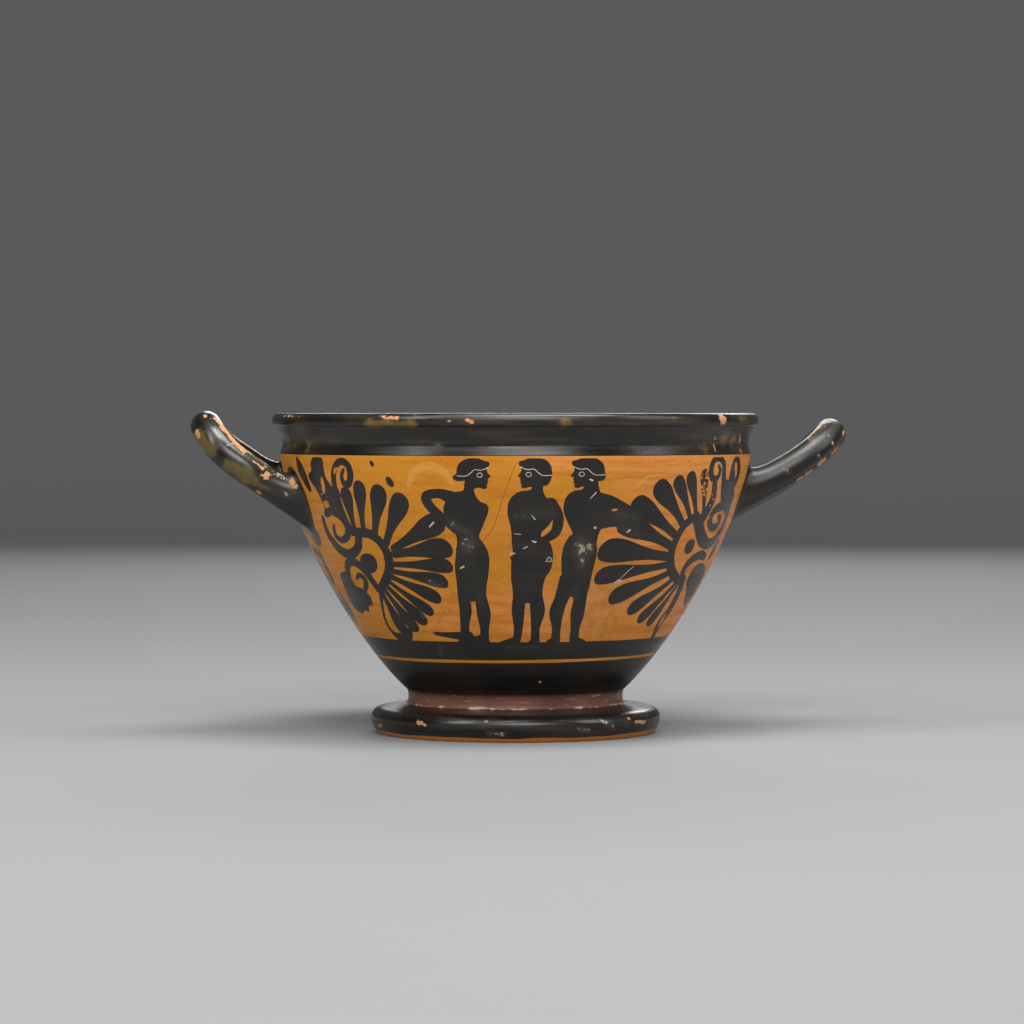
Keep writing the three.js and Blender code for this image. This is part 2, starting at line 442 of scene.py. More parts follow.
# Each pose: strokes of (x, height, width) as seen from the front
ARM_BENT = dict(
    head=(-17.9, 118.2, 1, LOW_KNOT),
    strokes=[
        [(-19.7, 113.5, 4.4), (-20.0, 110.3, 5.4), (-21.0, 107.2, 15), (-21.2, 103.6, 19.4),
         (-21.0, 99.5, 17.8), (-20.6, 95.0, 13.2), (-20.4, 90.7, 9.6), (-19.6, 86.8, 12.2),
         (-18.6, 82.0, 14.6), (-18.8, 75.5, 14.4), (-19.0, 68.5, 12.0)],
        [(-26.0, 107.2, 6.4), (-32.5, 109.6, 4.2), (-38.3, 108.4, 4.4), (-36.4, 103.8, 4.0),
         (-31.0, 98.8, 3.6), (-25.6, 93.6, 2.8)],
        [(-15.6, 75.0, 8.2), (-15.2, 66.0, 5.2), (-13.7, 57.4, 6.0), (-13.4, 50.0, 3.8),
         (-13.4, 45.4, 4.2), (-13.2, 43.5, 5)],
        [(-22.0, 74.0, 7.4), (-22.4, 65.5, 5.2), (-21.6, 58.6, 5.4), (-22.0, 51.5, 3.9),
         (-21.9, 47.0, 4.4)],
        [(-20.4, 46.9, 4.6), (-25.5, 47.2, 3.4), (-31.0, 47.5, 2.2), (-35.0, 48.0, 1.5)],
        [(-13.6, 46.0, 4.0), (-18.0, 45.4, 3.2), (-24.5, 44.4, 1.4)],
    ],
    gaps=[],
)
HAND_TO_HIP = dict(
    head=(8.3, 118.5, -1, FULL_KNOT),
    strokes=[
        [(9.6, 113.5, 4.6), (9.2, 110.6, 6.0), (8.2, 107.6, 16), (7.0, 103.6, 20.4),
         (5.7, 98.8, 18.6), (4.7, 93.6, 13.2), (4.9, 89.4, 13.2), (6.8, 84.8, 18.0),
         (6.9, 80.0, 18.0), (5.7, 75.0, 15.4), (5.3, 68.0, 12.2)],
        [(15.0, 104.6, 6.8), (18.2, 99.6, 5.0), (17.4, 93.6, 4.4), (13.6, 90.4, 3.4),
         (8.6, 88.6, 2.4)],
        [(2.2, 73.0, 8.4), (1.8, 66.0, 5.8), (1.2, 58.5, 5.6), (1.3, 51.0, 4.0), (0.6, 45.6, 3.4)],
        [(8.4, 73.0, 8.4), (8.8, 66.0, 5.8), (9.6, 58.5, 6.4), (8.7, 51.0, 3.9), (8.6, 45.0, 3.9)],
        [(1.0, 45.9, 3.0), (-2.4, 45.1, 2.2), (-6.0, 44.5, 1.0)],
        [(8.8, 45.0, 3.6), (6.4, 43.8, 2.4)],
    ],
    gaps=[],
)
ARM_OUT = dict(
    head=(31.0, 118.6, -1, SHORT_KNOT),
    strokes=[
        [(32.6, 113.6, 6.0), (32.4, 110.6, 8.4), (31.4, 107.4, 17), (30.4, 103.4, 19.8),
         (30.3, 98.4, 17.0), (30.0, 91.6, 11.0), (28.8, 88.0, 13.6), (27.7, 84.0, 15.0),
         (26.8, 78.5, 14.2), (26.4, 70.0, 11.6)],
        [(35.0, 105.6, 9.6), (40.5, 104.0, 9.4), (46.5, 101.6, 7.6), (52.0, 98.8, 6.2)],
        [(35.5, 97.5, 7.0), (41.0, 98.0, 6.0), (47.0, 97.4, 5.0)],
        [(22.9, 72.0, 8.0), (19.8, 63.5, 6.0), (17.8, 57.5, 6.2), (17.8, 50.5, 3.9),
         (17.4, 45.0, 4.2)],
        [(28.0, 72.0, 8.4), (28.0, 64.0, 5.8), (26.9, 57.0, 6.0), (26.0, 50.5, 4.0),
         (25.6, 45.2, 4.2)],
        [(17.6, 45.0, 3.4), (14.6, 44.6, 2.2)],
        [(25.8, 45.2, 3.6), (29.8, 44.2, 2.0)],
    ],
    gaps=[oval(42.6, 102.5, 2.8, 1.1, 10)],
)


def figure(place, pose, shift=0.0, mirror=1):
    """A painted figure: trunk and limbs as overlapping strokes, then the head on top."""
    for points in pose["strokes"]:
        drawn = np.asarray(points, float) * (mirror, 1, 1) + (shift, 0, 0)
        place(stroke(drawn), GLAZE)
    for gap in pose["gaps"]:
        place(gap * (mirror, 1) + (shift, 0), CLAY)
    x, height, look, nape = pose["head"]
    head(place, x * mirror + shift, height, look * mirror, nape)


# Palmettes: petals fan from a ring round a heart, with tendrils on the handle's side. All parts are
# in millimetres from the heart, x round the bowl away from the near handle and y upwards. A
# petal is (root x, root y, tip x, tip y, width), and a stroke is made of (x, y, width).


def petal(place, root_x, root_y, tip_x, tip_y, width):
    """A club-shaped petal: a slender stem from the ring, widest just before its round end."""
    root = np.array([root_x, root_y])
    ahead = np.array([tip_x, tip_y]) - root
    length = np.linalg.norm(ahead)
    ahead = ahead * (1 - 0.47 * width / length)
    stations = [(0, 0.38), (0.3, 0.43), (0.55, 0.64), (0.78, 0.92), (0.92, 1.0), (1, 0.97)]
    place(stroke([(*(root + share * ahead), wide * width) for share, wide in stations]), GLAZE)


def palmette(place, parts):
    """Petals, then ring and tendrils as strokes, then leaves and dots, then slits of clay."""
    for row in parts["petals"]:
        petal(place, *row)
    for points in parts["strokes"]:
        place(stroke(points), GLAZE)
    for points in parts["leaves"]:
        place(blob(points), GLAZE)
    for points in parts["slits"]:
        place(blob(points), CLAY)


LEFT_PALMETTE = dict(
    petals=[
        (-1.2, 14.4, -0.4, 33.4, 7.4), (4.3, 14.5, 9.3, 36.2, 7.4), (10.3, 12.8, 20.6, 34.3, 8.6),
        (15.3, 9.4, 31.5, 30.4, 8.8), (18.3, 6.6, 46.8, 19.9, 9.2), (17.3, 4.3, 46.9, 8.0, 8.9),
        (14.9, -0.2, 44.1, -0.3, 6.6), (13.0, -3.2, 38.9, -7.6, 6.8), (10.9, -5.6, 32.2, -15.3, 6.9),
        (8.4, -7.8, 25.2, -21.8, 5.9), (6.0, -9.6, 19.3, -26.5, 7.0), (3.5, -10.7, 12.3, -30.1, 6.6),
        (1.3, -11.6, 4.4, -31.5, 7.0),
    ],
    strokes=[
        # the ring
        [(-0.4, 13.4, 4.4), (6.2, 13.3, 4.6), (11.3, 10.3, 4.9), (13.5, 5.4, 4.9), (12.7, -0.1, 4.8),
         (10.0, -4.4, 4.4), (4.6, -9.3, 4.0), (0.1, -11.9, 3.2)],
        # the petal beside the fan, towards the handle
        [(-3.6, 13.4, 3.4), (-6.4, 20.6, 5.0), (-8.4, 26.6, 7.2), (-8.2, 31.0, 6.2)],
        # from the ring's upper end round towards the handle, and up
        [(-0.2, 13.4, 4.7), (-1.0, 9.9, 4.4), (-3.7, 6.4, 4.2), (-9.3, 3.9, 4.2), (-15.5, 4.5, 4.8),
         (-20.0, 7.7, 4.8), (-22.8, 11.8, 4.2), (-23.5, 15.7, 3.4), (-23.1, 19.5, 2.6)],
        # the hook inside it
        [(-14.6, 22.4, 2.8), (-8.6, 20.3, 3.8), (-5.7, 16.1, 4.2), (-7.3, 12.2, 3.6),
         (-12.0, 9.9, 3.0), (-16.0, 10.7, 3.0), (-16.8, 13.4, 2.6), (-15.6, 16.2, 1.8)],
        # the volute at the top
        [(-5.6, 29.6, 2.9), (-7.1, 34.4, 3.5), (-5.5, 40.6, 3.5), (-1.0, 44.4, 3.2),
         (3.6, 43.2, 3.6), (4.8, 39.0, 3.8), (2.5, 34.8, 3.4), (-0.6, 35.1, 3.0),
         (-0.9, 38.4, 2.2), (1.1, 41.1, 1.3)],
        # from the ring's lower end up past the dot, and hooking down
        [(-0.1, -11.6, 3.6), (-1.7, -8.1, 4.0), (-3.6, -4.2, 4.4), (-7.0, -0.9, 4.4),
         (-11.8, 0.3, 3.8), (-16.0, -1.5, 3.7), (-18.1, -5.0, 4.1)],
        [(-9.7, -12.2, 2.4), (-6.9, -9.2, 3.1), (-7.0, -6.6, 3.2), (-10.2, -5.7, 2.2),
         (-12.6, -7.4, 1.5)],
        # the thin loop that closes the fan below
        [(0.5, -12.9, 2.4), (-2.6, -20.0, 1.5), (-4.8, -26.4, 1.6), (-3.6, -31.3, 2.4),
         (0.4, -33.2, 4.4), (5.2, -32.6, 3.8), (8.4, -29.6, 2.4)],
        # a slender leaf close to the handle
        [(-36.5, 45.0, 3.0), (-34.6, 41.6, 6.2), (-31.8, 37.5, 6.2), (-28.6, 32.4, 3.4)],
        # two leaves below the handle
        [(-42.2, 4.2, 3.2), (-41.3, -3.5, 5.2), (-40.2, -9.9, 3.4)],
        [(-39.6, -15.2, 4.0), (-37.8, -21.5, 7.0), (-36.4, -27.5, 4.0)],
    ],
    leaves=[
        [(-19.7, 46.4), (-15.1, 46.6), (-12.7, 44.9), (-12.8, 41.2), (-12.2, 37.1), (-10.2, 34.4),
         (-9.1, 31.0), (-8.5, 26.9), (-8.6, 23.5), (-12.6, 21.9), (-16.7, 20.0), (-20.1, 19.8),
         (-21.0, 21.8), (-19.1, 24.0), (-20.0, 27.4), (-21.4, 30.1), (-23.2, 32.8),
         (-26.5, 36.2), (-26.7, 38.6), (-23.4, 40.4), (-23.1, 43.8)],
        [(-26.3, -5.6), (-28.0, -10.8), (-29.2, -16.8), (-26.9, -21.6), (-21.5, -23.4),
         (-17.4, -21.6), (-14.7, -22.6), (-12.6, -19.7), (-9.0, -18.9), (-7.8, -15.6),
         (-9.4, -13.4), (-11.4, -11.6), (-15.9, -10.5), (-17.3, -7.2), (-18.4, -4.5)],
        [(-2.9, 3.2), (2.0, 4.4), (5.4, 2.8), (5.6, -0.6), (2.9, -3.6), (-1.4, -4.7), (-4.5, -3.4),
         (-5.0, 0.2)],
    ],
    slits=[
        [(-16.6, 37.0), (-15.2, 37.4), (-14.4, 34.3), (-15.3, 30.9), (-17.0, 30.4), (-17.3, 33.4)],
        [(-19.0, 26.3), (-16.4, 27.3), (-14.6, 25.8), (-15.6, 24.4), (-18.0, 24.0)],
        [(-5.6, 38.6), (-4.2, 40.4), (-1.8, 41.6), (-4.0, 41.9), (-5.9, 40.6)],
    ],
)
RIGHT_PALMETTE = dict(
    petals=[
        (-1.5, 21.5, 6.7, 41.4, 5.8), (4.0, 21.2, 16.4, 40.2, 6.2), (8.4, 20.9, 24.2, 38.2, 6.6),
        (11.5, 17.4, 34.9, 35.8, 8.8), (13.4, 12.4, 44.8, 28.1, 9.2), (14.8, 8.2, 48.3, 19.8, 9.8),
        (13.2, 3.2, 52.6, 7.4, 10.6), (11.4, -0.5, 48.6, -4.8, 8.4), (8.0, -4.3, 36.4, -14.6, 8.8),
        (3.2, -7.8, 22.4, -20.9, 7.6), (-1.2, -9.5, 12.6, -25.8, 6.4), (-3.6, -10.4, 4.2, -27.9, 6.0),
    ],
    strokes=[
        # the ring
        [(3.5, 20.5, 4.8), (6.9, 19.3, 4.6), (10.6, 15.9, 4.4), (12.4, 9.0, 4.6), (10.9, 2.4, 4.7),
         (5.7, -3.6, 4.6), (-2.3, -7.6, 3.6), (-8.4, -8.7, 3.0)],
        # from the ring's upper end round towards the handle, and up
        [(3.5, 20.5, 5.0), (-1.7, 16.0, 6.0), (-8.3, 10.7, 6.2), (-16.4, 8.0, 5.0),
         (-24.3, 9.8, 5.6), (-28.6, 14.5, 5.6), (-29.2, 20.1, 5.4), (-28.0, 24.6, 6.0)],
        [(-4.1, 34.9, 3.9), (-5.9, 30.1, 5.0), (-5.5, 25.8, 5.8), (-2.6, 20.1, 6.3)],
        # the hook inside it
        [(-19.6, 25.4, 5.4), (-11.4, 23.1, 4.4), (-9.6, 18.9, 4.2), (-13.5, 15.6, 3.4),
         (-19.3, 15.8, 4.0), (-20.7, 18.7, 3.6), (-17.5, 20.4, 2.2)],
        # the volute at the top
        [(-13.3, 33.7, 4.8), (-10.7, 39.6, 3.8), (-9.1, 43.7, 3.2), (-4.9, 46.0, 3.0),
         (-0.4, 45.5, 3.4), (1.3, 41.6, 3.8), (-1.0, 37.5, 3.4), (-5.1, 37.1, 3.2),
         (-6.7, 40.4, 2.6), (-4.6, 42.9, 1.5)],
        # the bud beside it
        [(-23.2, 31.0, 9.5), (-20.9, 37.2, 7.4), (-20.4, 42.6, 5.4), (-22.7, 45.6, 3.4),
         (-26.9, 43.0, 4.2), (-28.9, 38.8, 5.0), (-27.4, 35.0, 4.6)],
        # the crescent below the dot
        [(-4.7, -6.8, 2.8), (-3.5, -2.4, 4.2), (-7.2, 1.4, 4.6), (-13.8, 3.2, 4.2), (-20.1, 2.0, 3.3)],
        # the last leaf of the fan, drawn as a loop
        [(-6.6, -7.7, 4.6), (-8.4, -12.7, 4.8), (-8.4, -20.6, 5.4), (-6.0, -26.6, 5.6),
         (-6.6, -33.0, 3.4)],
        [(-31.9, 7.5, 5.0), (-30.0, 4.8, 6.6), (-28.5, 2.4, 4.0)],
    ],
    leaves=[
        [(-12.1, 35.9), (-17.9, 36.5), (-26.4, 33.8), (-31.0, 28.9), (-30.5, 24.5), (-28.6, 20.8),
         (-19.9, 23.3), (-14.0, 27.8), (-11.8, 32.2)],
        [(-11.4, -6.1), (-12.6, -2.6), (-17.0, -0.6), (-24.1, -1.3), (-31.6, -4.3), (-34.9, -9.3),
         (-32.9, -15.9), (-26.3, -20.2), (-21.1, -18.4), (-15.9, -12.9), (-11.5, -9.0)],
        [(2.4, 10.1), (-1.4, 10.4), (-3.7, 8.1), (-3.3, 5.0), (-0.1, 3.9), (2.8, 5.3), (3.7, 8.1)],
    ],
    slits=[
        [(-21.6, 43.9), (-23.4, 44.1), (-24.4, 41.7), (-22.9, 40.2)],
        [(-6.8, -22.9), (-5.6, -25.3), (-6.4, -29.4), (-7.6, -26.6)],
    ],
)

# Where things stand on the bowl
FRONT = math.radians(-7.5)
BACK = math.radians(172)
LEFT_HEART = (math.radians(-53.2), 78.6)
RIGHT_HEART = (math.radians(47.6), 78.2)


def paint_front():
    place = seen_from(FRONT)
    left = wrapped_at(*LEFT_HEART, 1)
    right = wrapped_at(*RIGHT_HEART, -1)
    place(stroke([(-46, 113.6, 2.4), (-43, 119.4, 3.4), (-37, 121.6, 3.6), (-31, 119.4, 3.2),
                  (-27, 113.8, 2.0)]), GHOST)
    place(stroke([(52, 112.0, 1.0), (55, 115.4, 1.4), (59, 117.2, 1.4), (65, 117.4, 0.8)]), GHOST)
    palmette(left, LEFT_PALMETTE)
    palmette(right, RIGHT_PALMETTE)
    for pose in (ARM_BENT, HAND_TO_HIP, ARM_OUT):
        figure(place, pose)
    left(oval(18.1, 43.7, 2.2, 2.9, 25), GLAZE)
    left(oval(26.0, 35.9, 3.4, 5.0, 30), GLAZE)
    return place, left, right


def paint_back():
    place = seen_from(BACK)
    near_right = wrapped_at(math.radians(126.5), 78.4, 1)
    near_left = wrapped_at(math.radians(228), 78.4, -1)
    palmette(near_right, LEFT_PALMETTE)
    palmette(near_left, RIGHT_PALMETTE)
    figure(place, ARM_BENT)
    figure(place, HAND_TO_HIP, 13.0, -1)
    figure(place, HAND_TO_HIP, 24.5, 1)


def paint_under_handles():
    """Below each handle hangs a drooping bud between two tendrils, under black-glazed roots."""
    for angle in (-90, 90, 270):
        place = wrapped_at(math.radians(angle), 66.0, 1)
        place(blob([(0, 10), (3.2, 5), (7.0, -1), (8.6, -8), (6.0, -13.6), (0, -17), (-6.0, -13.6),
                    (-8.6, -8), (-7.0, -1), (-3.2, 5)]), GLAZE)
        for side in (-1, 1):
            place(stroke([(side * 0.8, 10.0, 2.4), (side * 7.0, 16.5, 3.2), (side * 13.4, 14.0, 4.2),
                          (side * 14.4, 8.0, 4.6), (side * 12.0, 2.4, 3.4), (side * 8.4, 4.6, 2)]), GLAZE)
            place(blob([(side * 13.6, 27), (side * 21.0, 30), (side * 27.6, 26), (side * 27.0, 21.4),
                        (side * 21.6, 18.6), (side * 16.0, 21.4)]), GLAZE)


band(GROUND_BOTTOM, FRIEZE_BOTTOM, GLAZE, 3)
band(LINE_BOTTOM, LINE_TOP, CLAY, 5, LINE_TILT)
front, left_palm, right_palm = paint_front()
paint_back()
paint_under_handles()

# Places where the paint wore through to the clay, and hairline cracks
flecks(right_palm, 3.4, 33.0, (4, 12), 30, 1.2, 25, CLAY)
flecks(right_palm, -5.4, 29.0, (3, 6), 8, 1.0, 26, CLAY)
flecks(left_palm, -16.0, 28.0, (4, 8), 9, 0.9, 23, CLAY)
for cut in (
    [(34.6, 110.1, 0.4), (32.2, 107.6, 0.4)],
    [(-37.0, 95.2, 0.5), (-35.2, 97.2, 0.7)],
    [(31.9, 115.7, 0.6), (33.0, 115.3, 0.7)],
    [(7.0, 89.4, 0.3), (8.4, 88.8, 0.9), (9.0, 89.0, 0.4)],
    [(3.6, 86.0, 0.4), (5.0, 86.8, 0.6)],
    [(-2.0, 83.8, 0.8), (-0.2, 83.9, 0.5)],
    [(13.2, 80.4, 0.3), (14.4, 82.2, 0.35), (15.8, 80.6, 0.3), (13.4, 80.3, 0.3)],
    [(7.0, 100.4, 0.3), (8.4, 98.6, 0.4)],
    [(-0.6, 92.4, 0.25), (2.6, 92.2, 0.25)],
    [(34.0, 94.8, 0.9), (34.4, 94.9, 1.0)],
    [(48.0, 92.6, 0.4), (49.4, 93.6, 0.9)],
    [(43.6, 70.6, 1.0), (45.2, 71.4, 1.4), (46.4, 71.0, 0.8)],
    [(45.0, 71.6, 0.25), (48.6, 75.2, 0.25), (51.4, 77.6, 0.2)],
    [(-23.8, 77.2, 0.5), (-22.4, 78.0, 0.9)],
):
    front(stroke(cut, 0.5), SCRATCH)
crack_line = [(0.6, 123.0, 0.18), (-4.0, 112.0, 0.2), (-9.6, 95.0, 0.2), (-17.0, 86.0, 0.16)]
front(stroke(crack_line, 1.5), CRACK)
for share in np.linspace(0, 1, 15):
    front(oval(-26.4 - 9.8 * share, 66.0 - 18.0 * share, 0.35, 0.7, 30), CRACK)


def winding(points, outline):
    """How many times an outline turns round each point: its corners' angles added up."""
    a = outline[None, :, :] - points[:, None, :]
    b = np.roll(a, -1, axis=1)
    cross = a[..., 0] * b[..., 1] - a[..., 1] * b[..., 0]
    dot = (a * b).sum(axis=-1)
    return np.arctan2(cross, dot).sum(axis=1) / TAU


def inside(points, outline):
    """Which points an outline encloses; only those in its box are worked out."""
    low = outline.min(axis=0)
    high = outline.max(axis=0)
    found = np.zeros(len(points), bool)
    near = np.flatnonzero(((points >= low) & (points <= high)).all(axis=1))
    for part in np.array_split(near, len(near) * len(outline) // 4_000_000 + 1):
        found[part] = np.abs(winding(points[part], outline)) > 0.5
    return found


# Handles


def handle_surface(handle):
    """Gives the handle's skin as a function of the run along its roll and the turn about it.

    On the flat the middle line is a U, two straight arms and half an ellipse. It climbs
    straight out from the wall, and its end curls up along an arc.
    """
    root_x = math.sqrt(radius_at(handle["root"]) ** 2 - (ARM_SPREAD / 2) ** 2)
    start = math.radians(handle["rise"])
    end = math.radians(handle["tip_rise"])
    curl_radius = handle["curl"] / (end - start)
    curl_run = curl_radius * (math.sin(end) - math.sin(start))
    straight = (handle["reach"] - TIP_THICKNESS / 2 - root_x - curl_run) / math.cos(start)
    flat_length = straight + handle["curl"]
    bend_start = flat_length - BEND_LENGTH
    arm = np.linspace(-ROOT_DEPTH, bend_start, 240)
    turn = np.linspace(-math.pi / 2, math.pi / 2, 241)[1:-1]
    flat = np.stack(
        [
            np.concatenate([arm, bend_start + BEND_LENGTH * np.cos(turn), arm[::-1]]),
            ARM_SPREAD / 2 * np.concatenate([0 * arm - 1, np.sin(turn), 0 * arm + 1]),
        ],
        axis=1,
    )
    flat_run = run_along(flat)
    ahead = np.gradient(flat, flat_run, axis=0)
    ahead /= np.linalg.norm(ahead, axis=1)[:, None]
    roll = math.radians(handle["roll"])

    def skin(run, round_by):
        x, y = (np.interp(run, flat_run, flat[:, k]) for k in (0, 1))
        ahead_x, ahead_y = (np.interp(run, flat_run, ahead[:, k]) for k in (0, 1))
        curled = np.maximum(0, x - straight)
        climb = start + curled / curl_radius
        before = x - curled
        out = before * math.cos(start) + curl_radius * (np.sin(climb) - math.sin(start))
        up = before * math.sin(start) + curl_radius * (math.cos(start) - np.cos(climb))
        near_wall = (1 - np.clip(x / FLARE_LENGTH, 0, 1)) ** 2
        towards_end = np.clip((x - bend_start / 2) / (flat_length - bend_start / 2), 0, 1)
        towards_end = towards_end**2 * (3 - 2 * towards_end)
        radius = (ARM_THICKNESS + (TIP_THICKNESS - ARM_THICKNESS) * towards_end) / 2
        upward = np.stack([-np.sin(climb), 0 * climb, np.cos(climb)], axis=-1)
        tangent = np.stack([np.cos(climb) * ahead_x, ahead_y, np.sin(climb) * ahead_x], axis=-1)
        across = np.cross(upward, tangent)
        middle = np.stack([root_x + out, y, handle["root"] + up], axis=-1)
        high = ROOT_RISE / 2 * near_wall
        middle = middle + upward * high[..., None]
        rise = upward * (np.cos(round_by) * (radius + high))[..., None]
        flare = across * (np.sin(round_by) * (radius + ROOT_FLARE * near_wall))[..., None]
        at = middle + rise + flare
        if handle["turn"] == 180:
            at = at * (-1, -1, 1)
        height = at[..., 2] - handle["root"]
        side = at[..., 1]
        turned_side = side * math.cos(roll) - height * math.sin(roll)
        turned_up = side * math.sin(roll) + height * math.cos(roll)
        return np.stack([at[..., 0], turned_side, turned_up + handle["root"]], axis=-1)

    return skin, flat_run[-1]


def unrolled(places):
    """Angle and run of places near the wall, the angle counted on from the seam."""
    angle = np.arctan2(places[..., 0], -places[..., 1])
    angle = (angle - SIDE_START) % TAU + SIDE_START
    return np.stack([angle, run_at(places[..., 2])], axis=-1)


def handle_root(skin, length, from_end, round_by):
    """Where one arm meets the wall, and the ring of its fillet on the wall.

    Each line along the skin is followed outwards until it leaves the wall. That meeting line,
    pushed out sideways on the unrolled wall, is the fillet's edge.
    """
    walk = np.linspace(0, LONGEST_ROOT, 261)
    run = length - walk if from_end else walk
    lines = skin(run[:, None] + 0 * round_by, 0 * run[:, None] + round_by)
    clear = np.hypot(lines[..., 0], lines[..., 1]) - radius_at(lines[..., 2])
    last = len(walk) - 1 - np.argmax((clear < 0)[::-1], axis=0)
    column = np.arange(len(round_by))
    share = clear[last, column] / (clear[last, column] - clear[last + 1, column])
    leave = walk[last] + share * (walk[1] - walk[0])
    meeting = unrolled(skin(length - leave if from_end else leave, round_by))
    radius = radius_at(height_at(meeting[:, 1]))
    flat = meeting * np.stack([radius, 0 * radius + 1], axis=1)
    ahead = np.roll(flat, -1, axis=0) - np.roll(flat, 1, axis=0)
    ahead /= np.linalg.norm(ahead, axis=1)[:, None]
    out = np.stack([ahead[:, 1], -ahead[:, 0]], axis=1)
    if ((flat - flat.mean(axis=0)) * out).sum() < 0:
        out = -out
    edge = (flat + ROOT_FILLET * out) / np.stack([radius, 0 * radius + 1], axis=1)
    return leave, meeting, edge


def handle_grid(handle):
    """The whole skin of one handle as a grid of rows, with both fillets, and its two edges."""
    skin, length = handle_surface(handle)
    round_by = np.arange(ARM_SIDES) * TAU / ARM_SIDES
    ends = []
    for from_end in (False, True):
        leave, meeting, edge = handle_root(skin, length, from_end, round_by)
        start = wall_points(edge[:, 0], edge[:, 1])[0]
        corner = wall_points(meeting[:, 0], meeting[:, 1])[0]
        settle = leave.max() + ROOT_FILLET + 3
        after = leave + ROOT_FILLET

        def run_of(walked):
            return length - walked if from_end else walked

        stop = skin(run_of(after), round_by)
        rows = []
        for t in np.linspace(0, 1, FILLET_ROWS):
            rows.append((1 - t) ** 2 * start + 2 * t * (1 - t) * corner + t * t * stop)
        for t in np.linspace(0, 1, FILLET_ROWS)[1:]:
            rows.append(skin(run_of(after + (settle - after) * t), round_by))
        walked = np.concatenate([leave.mean() + np.linspace(0, 1, FILLET_ROWS) * ROOT_FILLET,
                                 np.linspace(leave.mean() + ROOT_FILLET, settle, FILLET_ROWS)[1:]])
        ends.append((rows, edge, settle, run_of(walked)))
    first, last = ends
    between = np.linspace(first[2], length - last[2], ARM_ROWS)[1:-1, None]
    middle = skin(between + 0 * round_by, 0 * between + round_by)
    grid = np.concatenate([np.array(first[0]), middle, np.array(last[0][::-1])])
    run = np.concatenate([first[3], between[:, 0], last[3][::-1]])[:, None]
    radius = ARM_THICKNESS / 2
    rolled_out = np.stack(
        [radius * np.cos(round_by) + 0 * run, radius * np.sin(round_by) + 0 * run, run + 0 * round_by],
        axis=-1,
    )
    return grid, (first[1], last[1]), rolled_out


# One mesh: the painted wall is a triangulated sheet between the turned parts, and the handles
# are sewn to rings cut out of it


def grid_normals(grid):
    """Normals of a wrapped grid: the cross product of its steps along rows and columns."""
    down = np.gradient(grid, axis=0)
    along = np.roll(grid, -1, axis=1) - np.roll(grid, 1, axis=1)
    normal = np.cross(down, along)
    return normal / np.maximum(np.linalg.norm(normal, axis=-1)[..., None], 1e-12)


def cell_of(points):
    """The small square that each flat point falls in, so that no two points crowd one."""
    return np.round(points / PAINT_GRID * CELLS_PER_GRID).astype(int)


